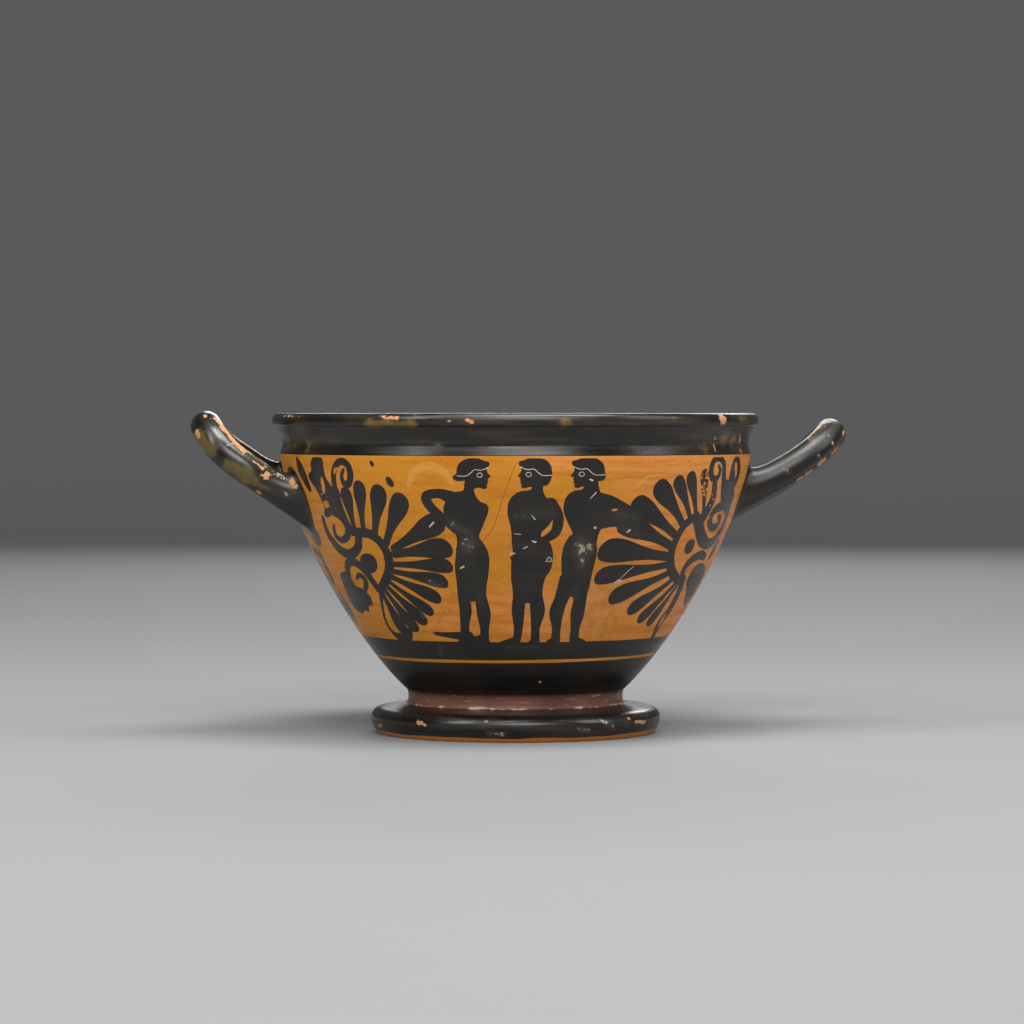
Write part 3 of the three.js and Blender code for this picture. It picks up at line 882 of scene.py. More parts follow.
def painted_sheet(edges):
    """Triangulates the unrolled wall so that every painted outline is an edge.

    A triangle takes the finish of the last outline that its middle lies in. Returns flat places
    (angle, run), triangles, the finish of each triangle, and the numbers of the vertices along
    the lower and upper borders and round each handle's edge.
    """
    low, high = run_at(PAINT_FLOOR), run_at(PAINT_CEILING)
    start = SIDE_START * UNROLL_RADIUS
    width = TAU * UNROLL_RADIUS
    columns = start + width * np.arange(COLUMNS + 1) / COLUMNS
    rows = np.linspace(low, high, int((high - low) / PAINT_GRID) + 2)
    points = [
        np.stack([columns, 0 * columns + low], axis=1),
        np.stack([columns, 0 * columns + high], axis=1),
        np.stack([0 * rows[1:-1] + start, rows[1:-1]], axis=1),
        np.stack([0 * rows[1:-1] + start + width, rows[1:-1]], axis=1),
    ]
    count = COLUMNS + 1
    bottom = np.arange(count)
    top = bottom + count
    left = np.concatenate([[0], 2 * count + np.arange(len(rows) - 2), [count]])
    right = np.concatenate([[count - 1], left[1:-1] + len(rows) - 2, [2 * count - 1]])
    lines = [np.stack([line[:-1], line[1:]], axis=1) for line in (bottom, top, left, right)]
    used = sum(len(p) for p in points)

    def add_loop(loop):
        nonlocal used
        index = used + np.arange(len(loop))
        points.append(loop)
        lines.append(np.stack([index, np.roll(index, -1)], axis=1))
        used += len(loop)
        return index

    holes = [edge * (UNROLL_RADIUS, 1) for edge in edges]
    rings = [add_loop(hole) for hole in holes]
    shapes = []
    for outline, finish in paint:
        for shift in (-width, 0, width):
            moved = outline + (shift, 0)
            if moved[:, 0].max() > start and moved[:, 0].min() < start + width:
                shapes.append((moved, finish))
                add_loop(moved)
    taken = set(map(tuple, cell_of(np.vstack(points))))
    fill_x, fill_y = np.meshgrid(columns[1:-1], rows[1:-1])
    fill = np.stack([fill_x.ravel(), fill_y.ravel()], axis=1)
    fill = fill[[tuple(cell) not in taken for cell in cell_of(fill)]]
    points.append(fill)
    points = np.vstack(points)
    lines = np.vstack(lines)
    made = delaunay_2d_cdt(
        [Vector(p) for p in points.tolist()], [tuple(e) for e in lines.tolist()], [], 0, 1e-5, True
    )
    places, faces = np.array([tuple(v) for v in made[0]]), np.array(made[2])
    came_from = {}
    for number, olds in enumerate(made[3]):
        for old in olds:
            came_from[old] = number
    middle = places[faces].mean(axis=1)
    keep = (middle[:, 0] > start) & (middle[:, 0] < start + width)
    for hole in holes:
        keep &= ~inside(middle, hole)
    faces, middle = faces[keep], middle[keep]
    finish = np.where(middle[:, 1] < run_at(GLAZED_BELOW), GLAZE, CLAY)
    for outline, colour in shapes:
        finish[inside(middle, outline)] = colour

    # The two sides of the seam become one line of vertices
    def on_line(x):
        found = np.flatnonzero(np.abs(places[:, 0] - x) < 1e-3)
        found = found[np.isin(found, faces)]
        return found[np.argsort(places[found, 1])]

    seam, twin = on_line(start), on_line(start + width)
    merge = np.arange(len(places))
    nearest = np.abs(places[twin, 1][:, None] - places[seam, 1][None, :]).argmin(axis=1)
    merge[twin] = seam[nearest]
    flat = places / (UNROLL_RADIUS, 1)
    return (
        flat,
        merge[faces],
        finish,
        merge[[came_from[k] for k in bottom[:-1]]],
        merge[[came_from[k] for k in top[:-1]]],
        [merge[[came_from[k] for k in ring]] for ring in rings],
    )


def worn_field(places, spots):
    """How worn each point is: a strength on a worn line, half of it at the line's reach."""
    total = np.zeros(len(places))
    for start, end, reach, strength in spots:
        along = end - start
        share = np.clip((places - start) @ along / max(along @ along, 1e-9), 0, 1)
        gap = np.linalg.norm(places - start - share[:, None] * along, axis=1)
        total = np.maximum(total, strength * np.clip(1 - gap / (2 * reach), 0, 1))
    return total


def seen_on_wall(x, height):
    """The place on the wall at x across the front view and a height."""
    angle = FRONT + math.asin(x / radius_at(height))
    return wall_points(np.array(angle), run_at(height))[0]


def on_turning(degrees, height):
    """The place on the outside of lip, neck, wall or foot at an angle and a height."""
    if height > CUP_HEIGHT - LIP_ROLL_HEIGHT:
        radius = RIM_RADIUS
    elif height > RIDGE[1]:
        radius = RIM_RADIUS - NECK_SETBACK + 0.4
    elif height > WAIST_TOP:
        radius = float(radius_at(height))
    else:
        radius = FOOT_RADIUS - 0.3
    return turned(np.array(radius), np.array(math.radians(degrees)), height)


def on_arm(handle):
    """Gives places on a handle's skin by the run along its roll and the turn about it."""
    skin = handle_surface(handle)[0]
    return lambda run, degrees: skin(np.array(float(run)), np.array(math.radians(degrees)))


def spots(place, rows):
    """Worn lines from rows of (two coordinates, two coordinates, reach, strength)."""
    return [(place(a, b), place(c, d), reach, strength) for a, b, c, d, reach, strength in rows]


# Scuffs on the painted figures and petals, as seen from the front
SCUFFED = [
    (-20.8, 86.6, -20.2, 88.4, 3.0, 1.0), (-27.6, 97.4, -19.0, 91.4, 2.6, 0.62),
    (-20.6, 80.0, -17.0, 74.0, 5.0, 0.34), (-16.4, 66.0, -15.0, 62.0, 2.4, 0.5),
    (-37.8, 71.2, -31.8, 68.8, 1.8, 0.8), (-40.4, 55.6, -39.6, 55.2, 1.5, 0.9),
    (0.0, 100.2, 16.0, 101.8, 3.4, 0.5), (2.0, 88.0, 8.0, 86.0, 3.0, 0.4),
    (8.0, 74.0, 4.0, 66.0, 4.0, 0.34), (14.6, 81.4, 14.8, 81.0, 2.0, 0.6),
    (27.9, 88.2, 28.4, 84.0, 3.2, 0.92), (32.6, 87.6, 32.4, 85.0, 1.5, 0.9),
    (29.4, 81.4, 28.4, 79.0, 2.2, 0.86), (26.0, 68.0, 22.0, 58.0, 3.4, 0.45),
    (44.0, 101.4, 52.0, 99.0, 3.6, 0.52), (46.0, 94.0, 54.0, 90.0, 3.0, 0.5),
    (-4.0, 42.4, 10.0, 41.8, 1.6, 0.5), (-33.0, 42.0, -32.4, 38.0, 0.9, 0.9),
]
# The mended break beside the third figure
MENDED = [(33.0, 66.0, 46.0, 63.0, 7.0, 1.0), (31.0, 56.0, 38.0, 50.0, 6.0, 1.0),
          (22.0, 52.0, 22.4, 47.0, 2.4, 0.9), (9.0, 47.0, 5.4, 47.5, 1.6, 0.8)]
# Misfired olive and brown patches on lip and neck, as (degrees, height)
LIP_MISFIRED = [
    (-44, 139.2, -31, 139.2, 1.8, 0.8), (-90, 133.0, -66, 131.0, 6.0, 0.5),
    (30, 142.0, 58, 141.8, 1.5, 0.6), (58, 141.6, 84, 141.0, 1.8, 0.6),
    (52, 133.0, 84, 132.0, 5.0, 0.5), (2, 140.4, 34, 140.6, 2.2, 0.5), (20, 129, 44, 128, 3.0, 0.45),
    (150, 140.0, 168, 140.0, 2.4, 0.7),
]
LIP_SCUFFED = [
    (-80, 143.2, -30, 143.2, 1.0, 0.66), (-30, 143.6, 60, 143.6, 0.8, 0.6),
    (52, 142.6, 80, 142.6, 1.5, 0.56), (-27, 130.4, -25, 130.0, 1.2, 0.8),
    (-57, 132.0, -55, 131.6, 1.0, 0.7), (46, 129.0, 64, 128.0, 2.4, 0.56),
    (58, 134.0, 66, 128.0, 2.4, 0.56),
]
FOOT_SCUFFED = [
    (-40, 11.4, -20, 8.2, 1.6, 0.6), (-20, 9.0, 42, 8.0, 2.4, 0.62), (28, 9.0, 34, 6.0, 1.4, 0.9),
    (18, 6.0, 22, 5.0, 1.2, 0.86), (-18, 4.2, -12, 3.8, 1.2, 0.86), (46, 10.4, 60, 10.0, 1.4, 0.7),
    (160, 9.0, 200, 8.0, 2.0, 0.64),
]
# Handles, as (run along the roll, degrees round it)
LEFT_BARE = [
    (84.5, -40, 91, -24, 1.3, 1.0), (91, -22, 98, -16, 2.3, 1.0), (98, -16, 104.0, -18, 2.7, 1.0),
    (81.4, -77, 82.6, -74, 0.8, 1.0), (118.0, -64, 118.8, -62, 1.7, 1.0),
    (129.0, -50, 129.8, -54, 1.2, 1.0), (110.8, -45, 116.5, -49, 0.55, 0.9),
    (86.0, -133, 87.4, -131, 1.6, 1.0), (119.6, -138, 120.6, -139, 0.9, 1.0),
    (131.0, -64, 132.4, -66, 1.2, 0.8), (132.6, -54, 137.3, -85, 0.8, 0.9),
    (136, -60, 141, -88, 1.0, 0.8), (34, 92, 40, 84, 1.1, 1.0), (60, -84, 62, -80, 1.0, 1.0),
]
# Left arm scuffs; the first three rows, a strip along the arm's top, are partly a painted highlight.
LEFT_SCUFFED_AND_HIGHLIT = [
    (104.6, -16, 115.0, -8, 3.0, 0.82), (116.3, -29, 124, -40, 2.2, 0.8),
    (124, -40, 131, -44, 2.4, 0.8), (98.4, -65, 99.3, -50, 0.6, 1.0),
    (130.2, -88, 130.8, -96, 0.9, 0.9), (141.6, -106, 142.4, -114, 1.2, 0.8),
    (124, -104, 140, -80, 4.0, 0.5), (84, -60, 92, -70, 2.4, 0.5),
]
LEFT_MISFIRED = [
    (88, -134, 95, -124, 3.6, 1.0), (104, -116, 112, -110, 3.4, 1.0),
    (112, -108, 122, -106, 3.0, 0.72), (92, -150, 108, -150, 3.0, 0.6),
    (104, -14, 116, -6, 2.6, 0.9),
]
RIGHT_BARE = [
    (64.4, -12, 66.6, -16, 1.3, 1.0), (54.6, -145, 57.0, -143, 1.3, 1.0),
    (47.4, -152, 50.0, -150, 1.0, 1.0), (43.6, -154, 46.0, -153, 0.9, 1.0),
    (61.4, -147, 64.7, -146, 0.7, 1.0), (64.7, -146, 73.4, -118, 0.6, 0.92),
    (73.4, -118, 82, -112, 0.7, 0.92), (116, 92, 121, 96, 1.2, 1.0),
]
RIGHT_SCUFFED = [
    (40.6, -97, 40.0, -86, 1.1, 1.0), (63.8, -114, 64.0, -114, 0.95, 1.3),
    (55.0, -115, 55.6, -111, 0.8, 1.0), (64.6, -80, 64.9, -80, 0.7, 1.0),
    (44.0, -6, 60.0, -18, 3.4, 0.74), (60.0, -20, 74.0, -52, 3.4, 0.78),
    (10.0, -40, 16.0, -30, 3.4, 0.5), (57, -52, 60, -46, 1.4, 0.9),
]
RIGHT_MISFIRED = [(60, -20, 76, -40, 3.6, 0.5), (62, -146, 78, -112, 1.6, 0.7)]


def arris_wear(places):
    """Glaze rubbed off the foot's upper edge, in stretches round it."""
    angle = np.arctan2(places[:, 0], -places[:, 1])
    off = np.abs(places[:, 2] - (FOOT_THICKNESS - FOOT_ARRIS_DROP))
    stretch = np.clip(0.5 + 0.9 * np.sin(3 * angle - 1.1) + 0.4 * np.sin(7 * angle), 0, 1)
    outer = np.hypot(places[:, 0], places[:, 1]) > FOOT_ARRIS_RADIUS - 1
    return np.where(outer, 0.74 * stretch * np.clip(1 - off / 1.0, 0, 1), 0)


def wear_of(part, places):
    """Three masks for each vertex of a part: worn bare, scuffed and misfired."""
    rows = {
        "wall": ((), spots(seen_on_wall, SCUFFED), ()),
        "lower": ((), spots(on_turning, FOOT_SCUFFED), ()),
        "upper": ((), spots(on_turning, LIP_SCUFFED), spots(on_turning, LIP_MISFIRED)),
        "left": [spots(on_arm(LEFT_HANDLE), r) for r in (LEFT_BARE, LEFT_SCUFFED_AND_HIGHLIT, LEFT_MISFIRED)],
        "right": [spots(on_arm(RIGHT_HANDLE), r) for r in (RIGHT_BARE, RIGHT_SCUFFED, RIGHT_MISFIRED)],
    }[part]
    masks = [worn_field(places, row) for row in rows]
    if part == "lower":
        masks[0] = arris_wear(places)
    return np.stack(masks, axis=1)


def hand_made(places):
    """Slight unevenness of a hand-thrown pot: the radius shrinks here and there by under 0.4."""
    angle = np.arctan2(places[:, 0], -places[:, 1])
    height = places[:, 2]
    dip = 0.5 + 0.25 * np.sin(2 * angle + height / 60 + 0.6) + 0.25 * np.sin(3 * angle - height / 45)
    radius = np.maximum(np.hypot(places[:, 0], places[:, 1]), 1.0)
    scale = 1 - 0.3 * dip / np.maximum(radius, 30)
    return places * np.stack([scale, scale, 0 * scale + 1], axis=1)


def pot_mesh():
    """The pot's places, normals, faces, finishes and masks, all in one set of arrays."""
    parts = []
    faces = []
    finishes = []
    grids = [handle_grid(LEFT_HANDLE), handle_grid(RIGHT_HANDLE)]
    edges = [edge for _, pair, _ in grids for edge in pair]
    flat, sheet_faces, sheet_finish, bottom, top, rings = painted_sheet(edges)
    places, normals = wall_points(flat[:, 0], flat[:, 1])
    mended = worn_field(places, spots(seen_on_wall, MENDED))
    parts.append((places, normals, wear_of("wall", places), 0 * places))
    faces.append(sheet_faces)
    finishes.append(sheet_finish)
    used = len(places)
    angles = SIDE_START + TAU * np.arange(COLUMNS) / COLUMNS

    for part, profile, border, finish_of, outward in (
        ("lower", lower_profile(), bottom, lower_finish, -1),
        ("upper", upper_profile(), top, upper_finish, 1),
    ):
        run = run_along(profile)
        tangent = np.gradient(profile, run, axis=0) * outward
        grid = turned(profile[:, :1], angles[None, :], profile[:, 1:])
        normal = turned(tangent[:, 1:], angles[None, :], -tangent[:, :1])
        normal /= np.linalg.norm(normal, axis=-1)[..., None]
        number = used + np.arange(grid[1:].size // 3).reshape(len(grid) - 1, COLUMNS)
        number = np.vstack([border[None, :], number])
        places = np.vstack([grid[1:].reshape(-1, 3), [[0, 0, profile[-1, 1]]]])
        normals = np.vstack([normal[1:].reshape(-1, 3), [[0, 0, outward]]])
        parts.append((places, normals, wear_of(part, places), 0 * places))
        used += len(places)
        row_finish = finish_of((profile[:-1] + profile[1:]) / 2)
        faces.append(sewn(number, outward))
        finishes.append(np.repeat(row_finish, 2 * COLUMNS))
        fan = np.stack([number[-1], np.roll(number[-1], -1), 0 * number[-1] + used - 1], axis=1)
        faces.append(fan[:, ::outward])
        finishes.append(np.full(COLUMNS, row_finish[-1]))

    for k, (grid, _, rolled_out) in enumerate(grids):
        body = grid[1:-1]
        normal = grid_normals(grid)
        out = grid - grid.mean(axis=1, keepdims=True)
        facing = 1 if (normal * out).sum() > 0 else -1
        number = used + np.arange(body.size // 3).reshape(len(body), ARM_SIDES)
        number = np.vstack([rings[2 * k][None, :], number, rings[2 * k + 1][None, :]])
        places = body.reshape(-1, 3)
        wear = wear_of(("left", "right")[k], places)
        flat_places = rolled_out[1:-1].reshape(-1, 3) * MM
        parts.append((places, facing * normal[1:-1].reshape(-1, 3), wear, flat_places))
        used += len(places)
        faces.append(sewn(number, -facing))
        finishes.append(np.full(2 * ARM_SIDES * (len(grid) - 1), (LEFT_ARM, RIGHT_ARM)[k]))

    places, normals, wear, rolled_out = (np.vstack(column) for column in zip(*parts))
    mended = np.concatenate([mended, np.zeros(len(places) - len(mended))])
    masks = {"wear": wear, "along_arm": rolled_out, "mended": mended}
    return places, normals, np.vstack(faces), np.concatenate(finishes), masks


def sewn(number, facing):
    """Two triangles for each cell of a wrapped grid of vertex numbers."""
    a = number[:-1]
    b = np.roll(a, -1, axis=1)
    d = number[1:]
    c = np.roll(d, -1, axis=1)
    first = np.stack([a, b, c], axis=-1)
    second = np.stack([a, c, d], axis=-1)
    both = np.stack([first, second], axis=2).reshape(-1, 3)
    return both[:, ::facing]


def lower_finish(middle):
    """Finish of each row below the painted wall, by its place on the profile."""
    radius, height = middle[:, 0], middle[:, 1]
    finish = np.full(len(middle), FOOT)
    finish[height > FILLET_TOP] = GLAZE
    finish[(height < FILLET_TOP) & (radius < WAIST_RADIUS + 1.0)] = FILLET
    under = (radius <= REST_RADIUS - 0.2) & (height < FOOT_THICKNESS - 4)
    finish[under] = CLAY
    finish[under & (radius > UNDER_RING[0]) & (radius < UNDER_RING[1])] = GLAZE
    return finish


def upper_finish(middle):
    """Finish of each row above the painted wall: a sliver of clay, lip and neck, the inside."""
    radius, height = middle[:, 0], middle[:, 1]
    row = np.arange(len(middle))
    finish = np.where(row <= np.argmax(height), LIP, GLAZE)
    finish[(height < RIDGE[1] - 0.1) & (radius > RIDGE[0] - 1)] = CLAY
    return finish


def make_mesh(name, places, normals, faces, finishes, masks, materials):
    """Puts the arrays into one mesh object at the origin, with the worked-out normals."""
    places = (hand_made(places) + (AXIS_X, 0, 0)) * MM
    used, faces = np.unique(faces, return_inverse=True)
    faces = faces.reshape(-1, 3)
    whole = (faces[:, 0] != faces[:, 1]) & (faces[:, 1] != faces[:, 2]) & (faces[:, 2] != faces[:, 0])
    faces, finishes = faces[whole], finishes[whole]
    places, normals = places[used], normals[used]
    mesh = bpy.data.meshes.new(name)
    mesh.vertices.add(len(places))
    mesh.vertices.foreach_set("co", places.astype(np.float32).ravel())
    mesh.loops.add(faces.size)
    mesh.loops.foreach_set("vertex_index", faces.astype(np.int32).ravel())
    mesh.polygons.add(len(faces))
    mesh.polygons.foreach_set("loop_start", np.arange(0, faces.size, 3, dtype=np.int32))
    mesh.polygons.foreach_set("material_index", finishes.astype(np.int32))
    mesh.update(calc_edges=True)
    mesh.validate()
    for material in materials:
        mesh.materials.append(material)
    for label, values in masks.items():
        values = values[used].astype(np.float32)
        kind, field = ("FLOAT_VECTOR", "vector") if values.ndim == 2 else ("FLOAT", "value")
        mesh.attributes.new(label, kind, "POINT").data.foreach_set(field, values.ravel())
    mesh.polygons.foreach_set("use_smooth", np.ones(len(mesh.polygons), bool))
    mesh.normals_split_custom_set_from_vertices(normals.tolist())
    piece = bpy.data.objects.new(name, mesh)
    bpy.context.scene.collection.objects.link(piece)
    return piece


# Finishes


def add(tree, kind, inputs=None, **settings):
    """Adds a node; an input is a value, or another node's output to link to."""
    node = tree.nodes.new(kind)
    for name, value in settings.items():
        setattr(node, name, value)
    for name, value in (inputs or {}).items():
        if isinstance(value, bpy.types.NodeSocket):
            tree.links.new(value, node.inputs[name])
        else:
            node.inputs[name].default_value = value
    return node


def mix(tree, share, a, b):
    """One colour laid over another by a mask."""
    node = add(tree, "ShaderNodeMix", data_type="RGBA")
    for slot, value in ((0, share), (6, a), (7, b)):
        if isinstance(value, bpy.types.NodeSocket):
            tree.links.new(value, node.inputs[slot])
        elif slot == 0:
            node.inputs[0].default_value = value
        else:
            node.inputs[slot].default_value = (*value, 1)
    return node.outputs[2]


def sums(tree, operation, a, b, clamp=False):
    return add(tree, "ShaderNodeMath", {0: a, 1: b}, operation=operation, use_clamp=clamp).outputs[0]


def noise(tree, where, scale, detail=3.0, rough=0.55):
    inputs = {"Vector": where, "Scale": scale, "Detail": detail, "Roughness": rough}
    return add(tree, "ShaderNodeTexNoise", inputs).outputs["Fac"]


def steps(tree, value, low, high, bottom=0.0, top=1.0):
    """A value taken from one range to another along a smooth step."""
    inputs = {"Value": value, "From Min": low, "From Max": high, "To Min": bottom, "To Max": top}
    node = add(tree, "ShaderNodeMapRange", inputs, interpolation_type="SMOOTHSTEP")
    return node.outputs["Result"]


def group(name, ins, outs):
    """An empty shader node group with named inputs and outputs."""
    tree = bpy.data.node_groups.new(name, "ShaderNodeTree")
    for label, kind in ins:
        tree.interface.new_socket(label, in_out="INPUT", socket_type=kind)
    for label, kind in outs:
        tree.interface.new_socket(label, in_out="OUTPUT", socket_type=kind)
    return tree, tree.nodes.new("NodeGroupInput").outputs, tree.nodes.new("NodeGroupOutput").inputs


def worn_group():
    """Mask of a worn place: near the line from Start to End, with a ragged edge."""
    vector, value = "NodeSocketVector", "NodeSocketFloat"
    tree, given, out = group(
        "worn_place",
        [("Where", vector), ("Ragged", value), ("Start", vector), ("End", vector), ("Reach", value)],
        [("Mask", value)],
    )

    def vectors(operation, a, b):
        return add(tree, "ShaderNodeVectorMath", {0: a, 1: b}, operation=operation)

    along = vectors("SUBTRACT", given["End"], given["Start"]).outputs[0]
    away = vectors("SUBTRACT", given["Where"], given["Start"]).outputs[0]
    shadow = vectors("DOT_PRODUCT", away, along).outputs["Value"]
    length = vectors("DOT_PRODUCT", along, along).outputs["Value"]
    share = sums(tree, "DIVIDE", shadow, length, clamp=True)
    near = add(tree, "ShaderNodeVectorMath", {0: along, "Scale": share}, operation="SCALE").outputs[0]
    gap = vectors("DISTANCE", away, near).outputs["Value"]
    reach = sums(tree, "DIVIDE", gap, given["Reach"])
    uneven = sums(tree, "ADD", reach, given["Ragged"])
    tree.links.new(steps(tree, uneven, 1.08, 0.92), out["Mask"])
    return tree


BLACK = (0.0075, 0.007, 0.006)
WARM_BLACK = (0.017, 0.013, 0.009)
OLIVE = (0.105, 0.080, 0.018)
GOLD = (0.24, 0.105, 0.02)
CREAM = (0.46, 0.40, 0.28)
BARE_CLAY = (0.52, 0.22, 0.07)
BARE_SALMON = (0.56, 0.27, 0.12)


def ragged_at(tree, value, pattern, amount, low, high):
    """A mask from a soft value whose edge is broken up by a pattern."""
    push = sums(tree, "MULTIPLY", sums(tree, "SUBTRACT", pattern, 0.5), amount)
    return steps(tree, sums(tree, "ADD", value, push), low, high)


def glaze_group():
    """Fired black glaze: warm where thin, brushed, misfired to olive, scuffed, worn to clay."""
    colour, vector, value = "NodeSocketColor", "NodeSocketVector", "NodeSocketFloat"
    tree, given, out = group(
        "glaze_coat",
        [("Where", vector), ("Brushed", vector), ("Wear", vector), ("Chips", value),
         ("Thin Colour", colour), ("Thinness", value), ("Sheen", value)],
        [("Colour", colour), ("Roughness", value), ("Height", value)],
    )
    where = given["Where"]
    patches = noise(tree, where, 34.0, 4.0)
    streaks = noise(tree, given["Brushed"], 1.0, 4.0)
    grain = noise(tree, where, 520.0, 3.0)
    rubs = noise(tree, where, 430.0, 4.0, 0.7)
    edges = noise(tree, where, 620.0, 3.0)
    blotches = noise(tree, where, 95.0, 4.0, 0.65)
    split = add(tree, "ShaderNodeSeparateXYZ", {0: given["Wear"]}).outputs
    bare = sums(tree, "MAXIMUM", ragged_at(tree, split[0], edges, 1.5, 0.46, 0.54), given["Chips"])
    scuffed = ragged_at(tree, split[1], rubs, 2.6, 0.80, 0.96)
    misfired = ragged_at(tree, split[2], blotches, 1.5, 0.30, 0.72)
    made = mix(tree, steps(tree, patches, 0.42, 0.72), BLACK, WARM_BLACK)
    thin = sums(tree, "MULTIPLY", steps(tree, streaks, 0.45, 0.75), given["Thinness"])
    made = mix(tree, thin, made, given["Thin Colour"])
    olive = mix(tree, steps(tree, blotches, 0.55, 0.70), OLIVE, GOLD)
    made = mix(tree, misfired, made, olive)
    # A pale cream haze that grows with the scuff mask: part dust, part a painted highlight on worn tops.
    dust_and_highlight = steps(tree, split[1], 0.1, 1.1, 0.0, 0.12)
    made = mix(tree, dust_and_highlight, made, CREAM)
    made = mix(tree, sums(tree, "MULTIPLY", scuffed, 0.85), made, CREAM)
    clay_tone = mix(tree, steps(tree, rubs, 0.4, 0.6), BARE_CLAY, BARE_SALMON)
    made = mix(tree, bare, made, clay_tone)
    tree.links.new(made, out["Colour"])
    rough = sums(tree, "ADD", given["Sheen"], steps(tree, streaks, 0.3, 0.7, 0.0, 0.16))
    rough = sums(tree, "ADD", rough, sums(tree, "MULTIPLY", scuffed, 0.25))
    rough = sums(tree, "ADD", rough, sums(tree, "MULTIPLY", bare, 0.35))
    tree.links.new(rough, out["Roughness"])
    height = sums(tree, "ADD", sums(tree, "MULTIPLY", grain, 0.3), sums(tree, "MULTIPLY", streaks, 0.5))
    height = sums(tree, "SUBTRACT", height, bare)
    height = sums(tree, "SUBTRACT", height, sums(tree, "MULTIPLY", scuffed, 0.25))
    tree.links.new(height, out["Height"])
    return tree


WORN = worn_group()
GLAZE_COAT = glaze_group()


def material(name, roughness, specular=0.5):
    """A new material with its shader, and the Object coordinates it reads."""
    made = bpy.data.materials.new(name)
    made.use_nodes = True
    tree = made.node_tree
    shader = tree.nodes["Principled BSDF"]
    shader.inputs["Roughness"].default_value = roughness
    shader.inputs["Specular IOR Level"].default_value = specular
    where = add(tree, "ShaderNodeTexCoord").outputs["Object"]
    return made, tree, shader, where


def stretched(tree, where, scale):
    """The coordinates stretched, so that a pattern on them becomes streaks."""
    return add(tree, "ShaderNodeMapping", {"Vector": where, "Scale": scale}).outputs[0]


def attribute(tree, name, output="Vector"):
    return add(tree, "ShaderNodeAttribute", attribute_name=name).outputs[output]


def placed(tree, node_tree, inputs):
    """Places a node group and feeds it."""
    node = tree.nodes.new("ShaderNodeGroup")
    node.node_tree = node_tree
    for name, value in inputs.items():
        if isinstance(value, bpy.types.NodeSocket):
            tree.links.new(value, node.inputs[name])
        else:
            node.inputs[name].default_value = value
    return node.outputs


def finish_with(tree, shader, colour, roughness, height, strength, distance=0.0004):
    tree.links.new(colour, shader.inputs["Base Color"])
    if roughness is not None:
        tree.links.new(roughness, shader.inputs["Roughness"])
    bump = add(tree, "ShaderNodeBump", {"Height": height, "Strength": strength, "Distance": distance})
    tree.links.new(bump.outputs[0], shader.inputs["Normal"])


def chips_of(tree, where, chips):
    """All chips of one part as one mask: the highest of their masks, each near a short line."""
    edges = noise(tree, where, 560.0, 4.0)
    ragged = sums(tree, "MULTIPLY", sums(tree, "SUBTRACT", edges, 0.5), 3.0)
    total = None
    for start, end, reach, _ in spots(on_turning, chips):
        inputs = {
            "Where": where,
            "Ragged": ragged,
            "Start": (start + (AXIS_X, 0, 0)) * MM,
            "End": (end + (AXIS_X, 0, 0.01)) * MM,
            "Reach": reach * MM,
        }
        mask = placed(tree, WORN, inputs)["Mask"]
        total = mask if total is None else sums(tree, "MAXIMUM", total, mask)
    return total


# Chips on lip, neck and foot, as (degrees, height)
LIP_CHIPS = [
    (-77, 143.4, -71, 143.4, 0.9, 1), (-68, 143.4, -67, 143.4, 0.8, 1),
    (-55, 143.4, -52, 143.4, 0.8, 1), (-39.6, 143.0, -35, 142.0, 1.0, 1),
    (-28.7, 143.6, -24.7, 143.6, 0.7, 1), (-18.5, 141.0, -17, 140.2, 1.0, 1),
    (-22.6, 140.7, -22.2, 140.7, 0.5, 1), (18.7, 143.4, 19.2, 143.4, 0.7, 1),
    (38.5, 143.4, 39.5, 143.4, 0.7, 1), (47.6, 142.6, 48.6, 141.0, 2.1, 1),
    (48.3, 137.4, 48.3, 133.0, 0.5, 1), (48.2, 130.4, 48.3, 127.2, 0.5, 1),
    (61.0, 136.1, 63.7, 131.7, 0.9, 1), (63.1, 127.6, 63.4, 127.0, 0.9, 1), (110, 143.4, 114, 143.4, 1.0, 1),
    (196, 143.2, 200, 143.4, 1.1, 1), (231, 142.6, 232, 140.6, 1.2, 1),
]
FOOT_CHIPS = [
    (-48.6, 8.1, -45.0, 7.0, 0.9, 1), (47.6, 7.2, 54.7, 6.7, 0.8, 1), (43.1, 9.3, 43.6, 9.4, 0.7, 1),
    (-78, 4.4, -75, 4.6, 0.8, 1), (150, 5.0, 153, 6.4, 1.2, 1), (208, 8.0, 210, 8.4, 0.9, 1),
]
WALL_CHIPS = [(3.5, 26.0, 3.9, 25.8, 0.6, 1), (176, 31.0, 177, 30.6, 0.9, 1)]

CLAY_GOLD = (0.64, 0.255, 0.018)
CLAY_SALMON = (0.76, 0.285, 0.060)
CLAY_ORANGE = (0.56, 0.170, 0.012)
CLAY_BROWN = (0.22, 0.078, 0.012)
CLAY_PINK = (0.60, 0.29, 0.13)
GHOST_CLAY = (0.78, 0.44, 0.12)


